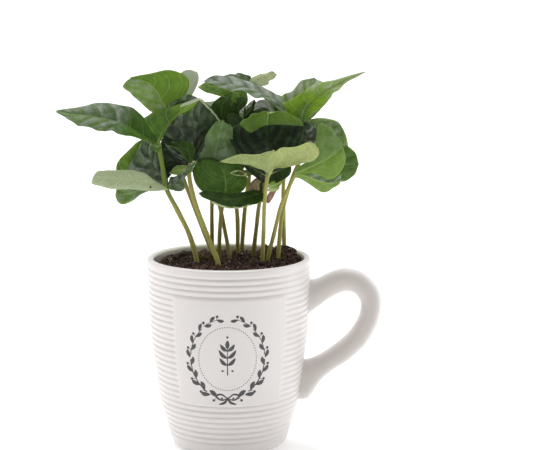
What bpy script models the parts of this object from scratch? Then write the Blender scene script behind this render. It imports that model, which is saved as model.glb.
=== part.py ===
"""A potted coffee plant: thirteen young seedlings in potting mix, in a ridged mug with a handle.

Lengths below are millimetres and become metres in mesh_object and curve_object. The origin is the centre of
the mug's underside, +Z is up, the handle is at +X and the smooth panel faces -Y.
"""

import math

import bmesh
import bpy
import numpy as np

MM = 0.001
WELD_DISTANCE = 0.00002

# Mug
MUG_HEIGHT = 105.0
MUG_TURNS = 32
WALL = 2.9
WALL_SHAPE = [(28.5, 0), (31.6, 1.8), (33.2, 5.4), (34.4, 9), (36.2, 16), (38.5, 23), (40.9, 40), (43.1, 57),
              (44.3, 74), (45, 91), (45.2, 104)]
FLOOR_HEIGHT = 6.5
GROOVE_COUNT = 31
GROOVE_PITCH = 3.2
GROOVE_DEPTH = 0.5
TOP_GROOVE = 103.4
CAVITY = [(0, FLOOR_HEIGHT), (24, 6.7), (29.5, 8.5), (32.2, 12), (35.6, 23), (38, 40), (40.2, 57), (41.4, 74),
          (42.1, 91), (42.3, 103.2)]
LIP = [(42.8, 104.5), (43.8, MUG_HEIGHT), (44.8, 104.6)]

# Smooth panel on the mug's front
PANEL_HALF_ANGLE = 44.4
PANEL_COLUMNS = 8
PANEL_LEVELS = [29.5, 40, 57, 74, 91.5]
PANEL_RISE = 0.35
PANEL_DEPTH = 1.8

# Handle: for each section its outer and inner edge in the XZ plane, and half its width along Y
HANDLE_SECTIONS = [
    ((43, 91), (42.6, 72.6), 6.5), ((47.5, 91.8), (46.8, 73.6), 7), ((53, 94.2), (51, 77.4), 6.5),
    ((59, 96.8), (57.5, 82), 6), ((65.5, 97.8), (64.3, 84.8), 6), ((74, 95.6), (69, 84), 6),
    ((81, 89.5), (72, 81), 6), ((84.5, 82), (73.2, 77.5), 6), ((84.5, 73), (72.5, 72), 6),
    ((82, 64.5), (70, 66.5), 6), ((76.2, 54.5), (66, 60.9), 6), ((67.5, 46.2), (59, 54.8), 6),
    ((57.5, 39.6), (51.5, 49.6), 6), ((50.7, 33.4), (46, 47), 6.5), ((44.8, 23.6), (43.5, 46), 7),
    ((37, 22.9), (40.2, 45.6), 6.5)]
HANDLE_SIDES = 12

# Potting mix: it follows the mug's cavity with a small gap, and its top is heaped and crumbly
SOIL_GAP = 0.3
SOIL_TURNS = 32
SOIL_RINGS = [0, 0.22, 0.42, 0.6, 0.76, 0.9, 1]
SOIL_LEVEL = 100.6
SOIL_CRUMBS = 0.7
HEAP = dict(height=5.0, centre=(27, 25), width=13)

# Stems
STEM_FOOT = 84.0
STEM_RADIUS = (1.25, 1.05)
STEM_STEPS = 2
HOLE_RADIUS = 1.75
HOLE_DEPTH = 83.6

# Blades
BLADE_THICKNESS = 0.7
BLADE_STEPS = 6
SMALL_BLADE = 22.0
FULLNESS = {"pointed": (0.75, 0.5), "oval": (0.6, 0.25), "round": (0.5, 0.0)}


def leaf(shape, base, tip, face, half, bow=(0, 0, 0), turned=None, lift=(5, 5), wave=(0, 0, 0), peak=(0.4, 0.4)):
    """One blade: its outline's name, where its rib starts and ends, and how far the rib's middle is bowed.

    face and turned are the way its upper side looks at the base and at the tip. half, lift and peak each give a
    value for the left and the right side, seen from above with the tip ahead: the widest half width, the angle
    in degrees that the side rises by, and where along the rib it is widest. wave is the height, count and phase
    of the ripples in its edge.
    """
    return dict(shape=shape, base=base, tip=tip, face=face, turned=turned or face, half=half, bow=bow, lift=lift,
                wave=wave, peak=peak)


# Each seedling: the points of its stem from the soil up, then its blades
SEEDLINGS = {
    "seedling_01": {
        "stem": [
            (-18, 0, 104), (-22, -1, 118), (-28, -3, 131), (-34, -6, 144), (-36, -7, 157),
            (-38, -8, 169.5)],
        "long_left": leaf("pointed", (-38, -8, 168), (-94, -18, 187),
                    bow=(1, -2, 3.2), face=(0, -0.75, 0.65), turned=(-0.3, -0.45, 0.85),
                    half=(9, 12.5), lift=(15, 20), wave=(1, 2.3, 0.1), peak=(0.55, 0.36)),
        "folded_upright": leaf("pointed", (-38, -8, 169), (-15, 2, 192),
                    bow=(-2, 0, 2), face=(-0.2, -0.8, 0.5), turned=(-0.2, -0.6, 0.75),
                    half=(11.5, 9), lift=(5, 50), wave=(0.6, 1.5, 0.3), peak=(0.27, 0.4)),
        "bud_flap": leaf("oval", (-37.5, -8.5, 168), (-43, -12, 166),
                    face=(0, -0.8, 0.6), half=(3, 3)),
        "hanging_front": leaf("round", (-34, -6, 144), (-47, 8, 171),
                    bow=(0, 2, 1), face=(0.3, -0.9, 0.2), turned=(0.2, -0.8, 0.5), half=(15, 10),
                    lift=(0, 15)),
        "hanging_back": leaf("round", (-34, -6, 144), (-50, 14, 167),
                    bow=(-2, 2, -1), face=(0.1, -0.9, 0.2), turned=(0.1, -0.8, 0.5), half=(17, 8),
                    lift=(5, 15)),
        "pale_arm": leaf("round", (-34, -6, 144), (-72, -24, 151.5),
                    bow=(0, -2, 3), face=(0, 0.9, 0.45), turned=(0, 0.9, 0.4), half=(5.5, 4.3),
                    lift=(10, 10), peak=(0.6, 0.5)),
        "low_flap": leaf("round", (-35, -6, 143.5), (-62, 0, 140.5),
                    face=(0, -0.8, 0.6), half=(6.5, 6), lift=(0, 0), peak=(0.7, 0.5)),
        "curled_right": leaf("round", (-33.5, -6, 144.5), (-20, -6, 157),
                    bow=(2, 0, -1.5), face=(-0.5, -0.75, 0.4), half=(6, 7), lift=(10, 10)),
    },
    "seedling_02": {
        "stem": [
            (-6, -12, 104), (-8.5, -9, 110), (-13.5, -6, 122), (-19, -3, 137.5),
            (-21.5, 0, 150), (-20.5, 2, 160)],
        "dark_centre": leaf("pointed", (-20.5, 2, 159), (-14, 14, 192.5),
                    bow=(-1, 1, 0), face=(0.3, -0.95, 0.1), turned=(0.3, -0.9, 0.3), half=(15, 15),
                    peak=(0.45, 0.6)),
        "small_curl": leaf("oval", (-21, 1, 158), (-33, -7, 167),
                    bow=(0, -1, 1), face=(0.4, -0.8, 0.5), turned=(0.2, -0.7, 0.7), half=(3, 7),
                    lift=(10, 10)),
        "bright_behind": leaf("round", (-21, 1, 152), (-36, 8, 160),
                    face=(0.2, -0.9, 0.2), half=(11, 11)),
        "back_low": leaf("oval", (-20.5, 2.5, 158), (-22, 38, 168),
                    bow=(0, 0, 3), face=(0, 0, 1), turned=(0, 0.3, 1), half=(10, 11), lift=(10, 10),
                    peak=(0.6, 0.6)),
    },
    "seedling_03": {
        "stem": [
            (-8.5, 6, 104), (-14, 6, 118), (-19.5, 6, 133), (-24.5, 8, 146), (-29.5, 12, 163),
            (-33, 10, 186)],
        "dark_behind": leaf("oval", (-33, 10, 184), (-13, 22, 190),
                    bow=(0, 0, 1), face=(0, -0.8, 0.6), half=(5, 6)),
        "broad_top": leaf("oval", (-33, 10, 185), (-56, -2, 202),
                    bow=(5.5, 0, 3), face=(0, -0.95, 0.3), turned=(-0.2, -0.9, 0.4),
                    half=(12.5, 13.5), lift=(0, 5), peak=(0.5, 0.25)),
        "pale_top": leaf("round", (-33, 10, 186), (-19, 18, 206),
                    face=(0.2, 0.8, 0.3), half=(10, 10)),
        "back_top": leaf("pointed", (-33, 10, 184), (-56, 42, 190),
                    bow=(0, 0, 5), face=(0, 0, 1), turned=(0, 0.3, 1), half=(11, 11), lift=(15, 15)),
    },
    "seedling_04": {
        "stem": [
            (-9.5, 33, 104), (-9.5, 25, 128), (-8.5, 13, 146)],
        "grey_upright": leaf("round", (-8, 13, 145), (-3, -4, 178.5),
                    bow=(-1, 0, 0), face=(0, -0.9, 0.1), half=(10.5, 10), peak=(0.3, 0.35)),
        "back_left": leaf("round", (-8.5, 13, 145.5), (-33, 36, 148),
                    bow=(0, 0, 3), face=(0, 0, 1), turned=(0, 0.3, 1), half=(10, 9), lift=(10, 10),
                    peak=(0.55, 0.55)),
    },
    "seedling_05": {
        "stem": [
            (-5.5, 12, 104), (-4.5, 8, 125), (-2, 1.5, 140)],
        "veined_disc": leaf("round", (-2, 0.8, 139.5), (-4, 3.5, 157),
                    face=(0, -0.95, 0.2), half=(16.5, 13), lift=(3, 3), peak=(0.5, 0.45)),
    },
    "seedling_06": {
        "stem": [
            (0.5, 6, 104), (-0.5, 9.5, 109), (-5, 21, 130), (-9, 26, 147), (-4, 27, 169),
            (1, 24, 181)],
        "dark_lens": leaf("oval", (-0.5, 25, 178), (3, 8, 193),
                    bow=(-2, -1, 0), face=(-0.2, -0.9, -0.2), turned=(-0.2, -0.9, -0.3),
                    half=(6.5, 2.5), peak=(0.55, 0.5)),
        "inner_dark": leaf("round", (-4, 27, 168), (9, 33, 186),
                    face=(0.2, -0.9, 0.2), half=(8, 8)),
        "back_left": leaf("pointed", (0.5, 24.5, 180), (-18, 54, 187),
                    bow=(0, 0, 5), face=(0, 0, 1), turned=(0, 0.3, 1), half=(10, 9), lift=(15, 15)),
    },
    "seedling_07": {
        "stem": [
            (5, 24, 104), (5, 18, 122), (4, 15, 138), (6, 18, 160), (9, 24, 184),
            (12.5, 25, 197)],
        "far_ridge": leaf("oval", (12.5, 25, 196.5), (-3, 29, 202),
                    bow=(0, 0, 2), face=(0, -0.7, 0.7), half=(3, 2.5)),
        "wavy_tip": leaf("round", (12.5, 25, 196.5), (27, 24, 205),
                    bow=(-3, 0, 2), face=(0, -0.9, 0.3), half=(2, 3.5), peak=(0.6, 0.6)),
        "inner_tuft": leaf("pointed", (9, 24, 184), (3, 31, 191),
                    face=(0, -0.8, 0.6), half=(4, 6)),
        "drooping_left": leaf("pointed", (9, 24, 185), (-17, 14, 197),
                    bow=(1, 0, 4), face=(0, -0.5, 0.85), turned=(0, -0.6, 0.8), half=(7, 7),
                    lift=(8, 8)),
        "back": leaf("pointed", (9, 24, 184), (12, 58, 190),
                    bow=(0, 0, 5), face=(0, 0, 1), turned=(0, 0.3, 1), half=(7, 8), lift=(15, 15)),
    },
    "seedling_08": {
        "stem": [
            (7.5, 30, 104), (9, 18, 127), (11, 9, 144), (13, 10, 153), (21, 15, 168),
            (31.5, 20, 182.5)],
        "glossy_band": leaf("oval", (27, 18, 176), (11, 15, 185),
                    bow=(0, 0, 1), face=(0, -0.8, 0.6), half=(5, 5)),
        "arching_top": leaf("oval", (31.5, 20, 182), (-13, 10, 200.5),
                    bow=(0, 0, 5.5), face=(0, -0.4, 0.9), half=(7, 7), lift=(8, 8)),
        "back": leaf("pointed", (31, 20, 182), (30, 50, 190),
                    bow=(0, 0, 4), face=(0, 0, 1), turned=(0, 0.3, 1), half=(9, 9), lift=(12, 12)),
    },
    "seedling_09": {
        "stem": [
            (14, 16, 104), (15.5, 9, 120), (17, 2, 134), (19.5, -1, 141), (20, 4.5, 152)],
        "shaded_drop": leaf("round", (20, 4, 151.5), (21, -9, 146),
                    bow=(0, 0, 2), face=(0, -0.6, 0.8), half=(15, 12.5), lift=(25, 8)),
        "low_cradle": leaf("oval", (19.5, -1, 140.5), (-15.5, -13, 140),
                    bow=(0, -3, -3.5), face=(0, -0.37, 0.93), half=(10, 9), lift=(8, 8)),
        "back": leaf("oval", (20, 4.5, 151.5), (25, 38, 152),
                    bow=(0, 0, 3), face=(0, 0, 1), turned=(0, 0.3, 1), half=(8, 7), lift=(8, 8),
                    peak=(0.6, 0.65)),
    },
    "seedling_10": {
        "stem": [
            (18.5, -4, 104), (19, -8, 118), (19.5, -12, 136), (21.5, -16, 153),
            (22.5, -17, 160)],
        "pale_left": leaf("oval", (24, -17, 159.5), (-5, -14, 159),
                    bow=(0, -2, 1.5), face=(0, 0.9, 0.4), half=(3.5, 2.8), peak=(0.3, 0.3)),
        "pale_right": leaf("round", (19.5, -17, 159), (48, -30, 166),
                    bow=(0, -1, 0), face=(0, 0.95, 0.3), half=(5.7, 6.3), peak=(0.45, 0.65)),
        "pale_throat": leaf("oval", (21.5, -16, 152), (23, -18, 164),
                    face=(0, 0.95, 0.3), half=(5, 4.5), peak=(0.6, 0.6)),
        "great_cup": leaf("round", (21.6, -16, 153.6), (22, 6, 184),
                    bow=(0, 6, 0), face=(0, -1, 0.2), turned=(0, -1, 0.3), half=(18, 14),
                    lift=(10, 4), wave=(1, 3, 0)),
    },
    "seedling_11": {
        "stem": [
            (22, 4, 104), (25, 1, 117), (29, -3, 134), (35.5, -7, 151)],
        "back_low": leaf("oval", (35.5, -7, 150), (58, 30, 136),
                    bow=(0, 0, 1), face=(0, 0, 1), turned=(0, 0.3, 1), half=(5, 8), lift=(8, 8),
                    peak=(0.65, 0.5)),
        "front_disc": leaf("round", (35.5, -7, 151), (59.5, -7, 173),
                    bow=(0, -4, 0), face=(0.1, -0.9, 0.3), turned=(0, -0.9, 0.3), half=(13.5, 15.5),
                    peak=(0.55, 0.62)),
        "low_fold": leaf("round", (35.5, -7, 150), (61, 0, 143.5),
                    face=(0, -0.8, 0.6), half=(8, 7), peak=(0.5, 0.7)),
    },
    "seedling_12": {
        "stem": [
            (27.5, 5, 104), (30, 10, 128), (35, 14, 145), (40, 16, 156), (43, 18, 163)],
        "disc_high": leaf("round", (43, 18, 162), (66, 12, 172),
                    face=(-0.2, -0.9, 0.3), half=(14, 13)),
        "disc_low": leaf("round", (43, 18, 162), (73, 12, 150),
                    face=(0, -0.9, 0.3), half=(13, 12), peak=(0.6, 0.55)),
        "back": leaf("round", (43, 18, 161), (52, 46, 164),
                    bow=(0, 0, 3), face=(0, 0, 1), turned=(0, 0.3, 1), half=(13, 13), lift=(10, 10)),
    },
    "seedling_13": {
        "stem": [
            (31.5, 22, 104), (31, 18, 125), (31, 18, 145), (34.5, 14, 162), (41, 10, 179)],
        "grey_top": leaf("round", (40.5, 11, 178), (49, 24, 202.5),
                    bow=(-2, 0, 0), face=(-0.3, -0.8, 0.4), half=(10.5, 12), peak=(0.5, 0.6)),
        "long_right": leaf("pointed", (41, 10, 178), (76, 6, 206),
                    bow=(-5, 0, 0.8), face=(0, -0.8, 0.6), turned=(0, -0.8, 0.5), half=(12.5, 6.5),
                    peak=(0.24, 0.36)),
        "small_mate": leaf("pointed", (40.5, 10, 179), (43.5, 8, 190),
                    face=(-0.4, -0.9, 0.2), half=(2, 2)),
        "glossy_gap": leaf("round", (37, 12, 168), (46, 5, 178),
                    bow=(-2, -4, -2), face=(-0.3, -0.9, 0.3), half=(6, 6)),
        "back_right": leaf("pointed", (41, 11, 178), (58, 46, 184),
                    bow=(0, 0, 5), face=(0, 0, 1), turned=(0, 0.3, 1), half=(9, 11), lift=(15, 15)),
    },
}

# Dry seed coats that hang beside two stems
SEED_COATS = {
    "seed_coat_tan": leaf("round", (12.4, 7.1, 147.4), (15.6, 6.2, 139.8), face=(0, -1, 0.1), half=(2.8, 2.6),
                          lift=(20, 20), peak=(0.5, 0.5)),
    "seed_coat_red": leaf("round", (22, -1.2, 142.6), (25.6, -1.6, 135), face=(0, -1, 0.1), half=(2.2, 2.4),
                          lift=(20, 20), peak=(0.5, 0.5)),
}

COLOURS = {
    "mug": ((0.83, 0.81, 0.76), 0.22),
    "soil": ((0.035, 0.022, 0.015), 0.95),
    "seedling": ((0.07, 0.2, 0.03), 0.35),
    "seed_coat_tan": ((0.42, 0.3, 0.17), 0.8),
    "seed_coat_red": ((0.26, 0.1, 0.05), 0.8),
}


def unit(vectors):
    return vectors / np.linalg.norm(vectors, axis=-1, keepdims=True)


def material(name):
    """A plain Principled material in the part's colour."""
    colour, roughness = COLOURS[name]
    made = bpy.data.materials.new(name)
    made.use_nodes = True
    shader = made.node_tree.nodes["Principled BSDF"]
    shader.inputs["Base Color"].default_value = (*colour, 1)
    shader.inputs["Roughness"].default_value = roughness
    shader.inputs["Metallic"].default_value = 0
    return made


def mesh_object(name, points, faces, collection):
    """An object from points in millimetres, with its faces turned outward."""
    mesh = bpy.data.meshes.new(name)
    mesh.from_pydata((np.asarray(points) * MM).tolist(), [], faces)
    shape = bmesh.new()
    shape.from_mesh(mesh)
    bmesh.ops.recalc_face_normals(shape, faces=shape.faces)
    shape.to_mesh(mesh)
    shape.free()
    made = bpy.data.objects.new(name, mesh)
    collection.objects.link(made)
    return made


def settle(made):
    """Turns an object's curve or modifiers into one plain mesh with its seams welded."""
    bpy.context.view_layer.update()
    reader = made.evaluated_get(bpy.context.evaluated_depsgraph_get())
    mesh = bpy.data.meshes.new_from_object(reader)
    shape = bmesh.new()
    shape.from_mesh(mesh)
    bmesh.ops.remove_doubles(shape, verts=shape.verts, dist=WELD_DISTANCE)
    bmesh.ops.recalc_face_normals(shape, faces=shape.faces)
    shape.to_mesh(mesh)
    shape.free()
    name, collection = made.name, made.users_collection[0]
    bpy.data.objects.remove(made)
    plain = bpy.data.objects.new(name, mesh)
    collection.objects.link(plain)
    return plain


def boolean(target, operation, others, solver="EXACT"):
    """Joins a collection's objects to the target, or cuts them from it, and clears the collection."""
    change = target.modifiers.new(operation.lower(), "BOOLEAN")
    change.operation = operation
    change.operand_type = "COLLECTION"
    change.collection = others
    change.solver = solver
    plain = settle(target)
    for used in list(others.objects):
        bpy.data.objects.remove(used)
    return plain


def finish(made, look):
    made.data.materials.clear()
    made.data.materials.append(look)
    made.data.shade_smooth()
    made.data.set_sharp_from_angle(angle=math.radians(40))


def closed_tube(name, rings, collection):
    """A closed body through a row of rings of points, each end shut by a flat face."""
    rows, columns = rings.shape[:2]
    faces = [tuple(reversed(range(columns))), tuple(range((rows - 1) * columns, rows * columns))]
    for row in range(rows - 1):
        for column in range(columns):
            beside = (column + 1) % columns
            start, above = row * columns, (row + 1) * columns
            faces.append((start + column, start + beside, above + beside, above + column))
    return mesh_object(name, rings.reshape(-1, 3), faces, collection)


def wall_radius(height):
    radii, heights = zip(*WALL_SHAPE)
    return np.interp(height, heights, radii)


def mug_profile():
    """From the cavity's floor up over the lip and down the grooved outside to the centre of the underside."""
    outside = []
    for number in range(GROOVE_COUNT):
        groove = TOP_GROOVE - number * GROOVE_PITCH
        ridge = groove - GROOVE_PITCH / 2
        outside += [(wall_radius(groove) - GROOVE_DEPTH, groove), (wall_radius(ridge), ridge)]
    foot = [(33.2, 4.4), (31.6, 1.6), (30.2, 0.4), (28.5, 0), (0, 0)]
    return CAVITY + LIP + outside + foot


def mug_body(collection):
    """The mug without its panel and handle: the profile turned about Z."""
    profile = mug_profile()
    mesh = bpy.data.meshes.new("mug")
    points = [(radius * MM, 0, height * MM) for radius, height in profile]
    mesh.from_pydata(points, [(i, i + 1) for i in range(len(points) - 1)], [])
    body = bpy.data.objects.new("mug", mesh)
    collection.objects.link(body)
    turn = body.modifiers.new("turn", "SCREW")
    turn.axis = "Z"
    turn.steps = MUG_TURNS
    turn.render_steps = MUG_TURNS
    turn.use_merge_vertices = True
    turn.merge_threshold = 0.00001
    return settle(body)


def panel_block(collection):
    """The smooth panel: a closed slab that follows the wall and stands just proud of its ridges."""
    angles = np.radians(-90 + np.linspace(-PANEL_HALF_ANGLE, PANEL_HALF_ANGLE, PANEL_COLUMNS + 1))
    levels = np.array(PANEL_LEVELS, float)
    outer = wall_radius(levels) + PANEL_RISE
    inner = outer - PANEL_DEPTH
    radii = np.concatenate([outer, inner[::-1]])
    heights = np.concatenate([levels, levels[::-1]])
    rings = np.stack([radii * np.cos(angles)[:, None], radii * np.sin(angles)[:, None],
                      np.broadcast_to(heights, (len(angles), len(heights)))], axis=-1)
    return closed_tube("panel", rings, collection)


def handle_body(collection):
    """The handle: an oval section swept from edge pair to edge pair, flared where it meets the wall."""
    turn = np.linspace(0, 2 * math.pi, HANDLE_SIDES, endpoint=False)[:, None]
    rings = []
    for outer, inner, width in HANDLE_SECTIONS:
        outer = np.array([outer[0], 0, outer[1]], float)
        inner = np.array([inner[0], 0, inner[1]], float)
        middle = (outer + inner) / 2
        rings.append(middle + np.cos(turn) * (outer - inner) / 2 + np.sin(turn) * np.array([0, width, 0]))
    return closed_tube("handle", np.array(rings), collection)


def soil_height(across, along):
    """The top of the potting mix: level, with seeded crumbs and a heap at the back right."""
    chance = np.random.default_rng(7)
    waves = chance.uniform(0.15, 0.6, (6, 2)) * chance.choice([-1, 1], (6, 2))
    phases = chance.uniform(0, 2 * math.pi, 6)
    crumbs = sum(np.sin(across * a + along * b + phase) for (a, b), phase in zip(waves, phases)) / 3
    off = (across - HEAP["centre"][0]) ** 2 + (along - HEAP["centre"][1]) ** 2
    return SOIL_LEVEL + SOIL_CRUMBS * crumbs + HEAP["height"] * np.exp(-off / (2 * HEAP["width"] ** 2))


def soil_body(collection):
    """Rings from the top's centre out to the edge, then down inside the cavity to the floor."""
    turn = np.arange(SOIL_TURNS) * 2 * math.pi / SOIL_TURNS
    rim = 42.2 - SOIL_GAP
    rings = []
    for share in SOIL_RINGS[1:]:
        across, along = share * rim * np.cos(turn), share * rim * np.sin(turn)
        drop = 1.2 * share**4
        rings.append(np.stack([across, along, soil_height(across, along) - drop], axis=-1))
    for radius, height in [(41.4, 74), (40.2, 57), (38, 40), (35.6, 23), (32.2, 12), (29.5, 8.5), (24, 6.7)]:
        level = np.full_like(turn, height + SOIL_GAP)
        rings.append(np.stack([(radius - SOIL_GAP) * np.cos(turn), (radius - SOIL_GAP) * np.sin(turn), level], -1))
    return closed_tube("soil", np.array(rings), collection)


def stem_hole(name, foot, collection):
    """A cutter for the blind hole that a stem stands in."""
    bpy.ops.mesh.primitive_cylinder_add(vertices=8, radius=HOLE_RADIUS * MM, depth=0.03)
    cutter = bpy.context.object
    cutter.name = name
    cutter.location = (foot[0] * MM, foot[1] * MM, HOLE_DEPTH * MM + 0.015)
    cutter.hide_render = True
    cutter.display_type = "WIRE"
    for holder in cutter.users_collection:
        holder.objects.unlink(cutter)
    collection.objects.link(cutter)


def smooth(points, steps):
    """A curve through the points that starts upright, read at a number of steps between each two of them."""
    p = np.array(points, float)
    p = np.vstack([p[0] - (0, 0, 12), p, 2 * p[-1] - p[-2]])
    places = np.linspace(0, len(p) - 3 - 1e-9, steps * (len(p) - 3) + 1)
    i = places.astype(int)
    f = (places - i)[:, None]
    a, b, c, d = p[i], p[i + 1], p[i + 2], p[i + 3]
    return b + 0.5 * f * (c - a + f * (2 * a - 5 * b + 4 * c - d + f * (3 * (b - c) + d - a)))


def stem_body(name, points, collection):
    """A stem: a tapered tube that goes straight down into the soil."""
    route = smooth(points, STEM_STEPS)
    foot = np.array([[points[0][0], points[0][1], STEM_FOOT]])
    route = np.vstack([foot, route])
    curve = bpy.data.curves.new(name, "CURVE")
    curve.dimensions = "3D"
    curve.bevel_depth = MM
    curve.bevel_resolution = 1
    curve.use_fill_caps = True
    line = curve.splines.new("POLY")
    line.points.add(len(route) - 1)
    for number, (point, place) in enumerate(zip(line.points, route)):
        point.co = (*(place * MM), 1)
        point.radius = np.interp(number, [0, len(route) - 1], STEM_RADIUS)
    made = bpy.data.objects.new(name, curve)
    collection.objects.link(made)
    return settle(made)


def outline(shape, peak, along):
    """Half width along the rib: a sine bulge, widest at peak, drawn to a point by the shape's fullness."""
    start, more = FULLNESS[shape]
    return np.sin(math.pi * along ** (math.log(0.5) / math.log(peak))) ** (start + more * along)


def blade_surface(blade, steps, half_steps):
    """The blade's middle surface: rows along the rib, columns from its left edge to its right edge."""
    along = np.linspace(0, 1, steps + 1)[:, None]
    across = np.linspace(-1, 1, 2 * half_steps + 1)[None, :]
    base, tip, bow = (np.array(blade[key], float) for key in ("base", "tip", "bow"))
    rib = base + along * (tip - base) + 4 * along * (1 - along) * bow
    ahead = unit((tip - base) + 4 * (1 - 2 * along) * bow)
    face = np.array(blade["face"], float) * (1 - along) + np.array(blade["turned"], float) * along
    face = unit(face - (face * ahead).sum(-1, keepdims=True) * ahead)
    side = np.cross(ahead, face)
    left = across < 0
    widths = [half * outline(blade["shape"], peak, along) for half, peak in zip(blade["half"], blade["peak"])]
    half = np.maximum(np.where(left, *widths), 0.8 - 0.4 * along)
    angle = np.radians(np.where(left, *blade["lift"])) * np.minimum(along / 0.15, 1)
    out = across * half * np.cos(angle)
    height, count, phase = blade["wave"]
    ripple = np.sin(2 * math.pi * (count * along + phase + 0.27 * np.sign(across)))
    up = np.abs(across) * half * np.sin(angle) + np.minimum(along / 0.2, 1) * height * across**2 * ripple
    return rib[:, None] + side[:, None] * out[..., None] + face[:, None] * up[..., None]


def blade_body(name, blade, collection):
    """A blade with thickness: its surface pushed both ways, split into like triangles on both faces."""
    small = sum(blade["half"]) < 10 or math.dist(blade["base"], blade["tip"]) < SMALL_BLADE / 2
    steps = BLADE_STEPS if math.dist(blade["base"], blade["tip"]) > SMALL_BLADE else BLADE_STEPS - 2
    surface = blade_surface(blade, steps, 1 if small else 2)
    rows, columns = surface.shape[:2]
    normal = unit(np.cross(np.gradient(surface, axis=1), np.gradient(surface, axis=0)))
    top = surface + normal * BLADE_THICKNESS / 2
    low = surface - normal * BLADE_THICKNESS / 2
    number = np.arange(rows * columns).reshape(rows, columns)
    under = rows * columns
    faces = []
    for row in range(rows - 1):
        for column in range(columns - 1):
            a, b = number[row, column], number[row, column + 1]
            c, d = number[row + 1, column + 1], number[row + 1, column]
            for three in ((a, b, c), (a, c, d)):
                faces.append(three)
                faces.append(tuple(under + point for point in reversed(three)))
    edge = [*number[0, :], *number[1:, -1], *number[-1, -2::-1], *number[-2:0:-1, 0]]
    for here, beside in zip(edge, edge[1:] + edge[:1]):
        faces.append((beside, here, under + here))
        faces.append((beside, under + here, under + beside))
    return mesh_object(name, np.concatenate([top, low]).reshape(-1, 3), faces, collection)


def build_mug(parts, tools, look):
    body = mug_body(parts)
    panel_block(tools)
    handle_body(tools)
    mug = boolean(body, "UNION", tools)
    mug.name = "mug"
    finish(mug, look)


def build_soil(parts, tools, look):
    body = soil_body(parts)
    for name, plant in SEEDLINGS.items():
        stem_hole("hole_" + name, plant["stem"][0], tools)
    soil = boolean(body, "DIFFERENCE", tools)
    soil.name = "soil"
    finish(soil, look)


def build_seedling(name, plant, parts, tools, look):
    stem = stem_body(name, plant["stem"], parts)
    for label, blade in plant.items():
        if label != "stem":
            blade_body(name + "_" + label, blade, tools)
    seedling = boolean(stem, "UNION", tools, solver="MANIFOLD")
    seedling.name = name
    finish(seedling, look)


def build():
    for old in list(bpy.data.objects):
        bpy.data.objects.remove(old)
    parts = bpy.data.collections.new("potted_coffee_plant")
    tools = bpy.data.collections.new("cutters")
    bpy.context.scene.collection.children.link(parts)
    bpy.context.scene.collection.children.link(tools)
    build_mug(parts, tools, material("mug"))
    build_soil(parts, tools, material("soil"))
    green = material("seedling")
    for name, plant in SEEDLINGS.items():
        build_seedling(name, plant, parts, tools, green)
    for name, coat in SEED_COATS.items():
        finish(blade_body(name, coat, parts), material(name))


build()
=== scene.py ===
"""A potted coffee plant: thirteen young seedlings in potting mix, in a ridged stoneware mug with a handle.

Lengths below are millimetres and become metres as each mesh is made. The mug's axis is the origin, +Z is up,
the handle is at +X and the mug's smooth panel faces -Y.
"""

import math

import bpy
import numpy as np
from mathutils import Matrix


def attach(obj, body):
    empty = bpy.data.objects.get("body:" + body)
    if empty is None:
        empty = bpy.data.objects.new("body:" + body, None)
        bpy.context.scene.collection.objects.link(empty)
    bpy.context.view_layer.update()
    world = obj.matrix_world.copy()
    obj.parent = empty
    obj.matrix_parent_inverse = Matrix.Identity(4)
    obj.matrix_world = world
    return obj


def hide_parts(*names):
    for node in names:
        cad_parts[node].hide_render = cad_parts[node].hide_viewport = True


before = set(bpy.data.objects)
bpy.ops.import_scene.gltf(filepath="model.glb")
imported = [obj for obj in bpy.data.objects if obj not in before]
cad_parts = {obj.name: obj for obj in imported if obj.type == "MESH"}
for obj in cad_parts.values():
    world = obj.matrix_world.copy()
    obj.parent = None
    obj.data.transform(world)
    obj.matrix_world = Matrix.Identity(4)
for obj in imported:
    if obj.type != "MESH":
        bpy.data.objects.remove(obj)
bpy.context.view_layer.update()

# The studio.
# A pale floor that runs out of sight, under one wide soft overhead light. The room is dim in front and bright
# behind, so the mug's sides come out lighter than its front. A long lens looks from just above the rim.
MM = 0.001
CAMERA_LENS, CAMERA_PLACE, CAMERA_TILT, CAMERA_TURN = 104, (0, -0.872, 0.262), 80.9, -1.75
FLOOR_RADIUS, FLOOR_CORNERS, FLOOR_GLOW = 30000, 64, 0.24
FLOOR_PALE, FLOOR_PALER = (0.9, 0.9, 0.9), (0.93, 0.93, 0.93)
ROOM_IN_FRONT, MORE_BEHIND = 0.27, 0.73
OVERHEAD_POWER, OVERHEAD_WIDTH, OVERHEAD_TILT = 1.95, 50, (-14, -7)
# Each window's place across in metres, and its power. The rest is the same for both.
WINDOWS = {"left_window": (-0.9, 0.8), "right_window": (1.0, 2.0)}
WINDOW_SIZE, WINDOW_BACK, WINDOW_HEIGHT, WINDOW_TILT = (0.5, 0.8), 0.1, 0.35, 80


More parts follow.
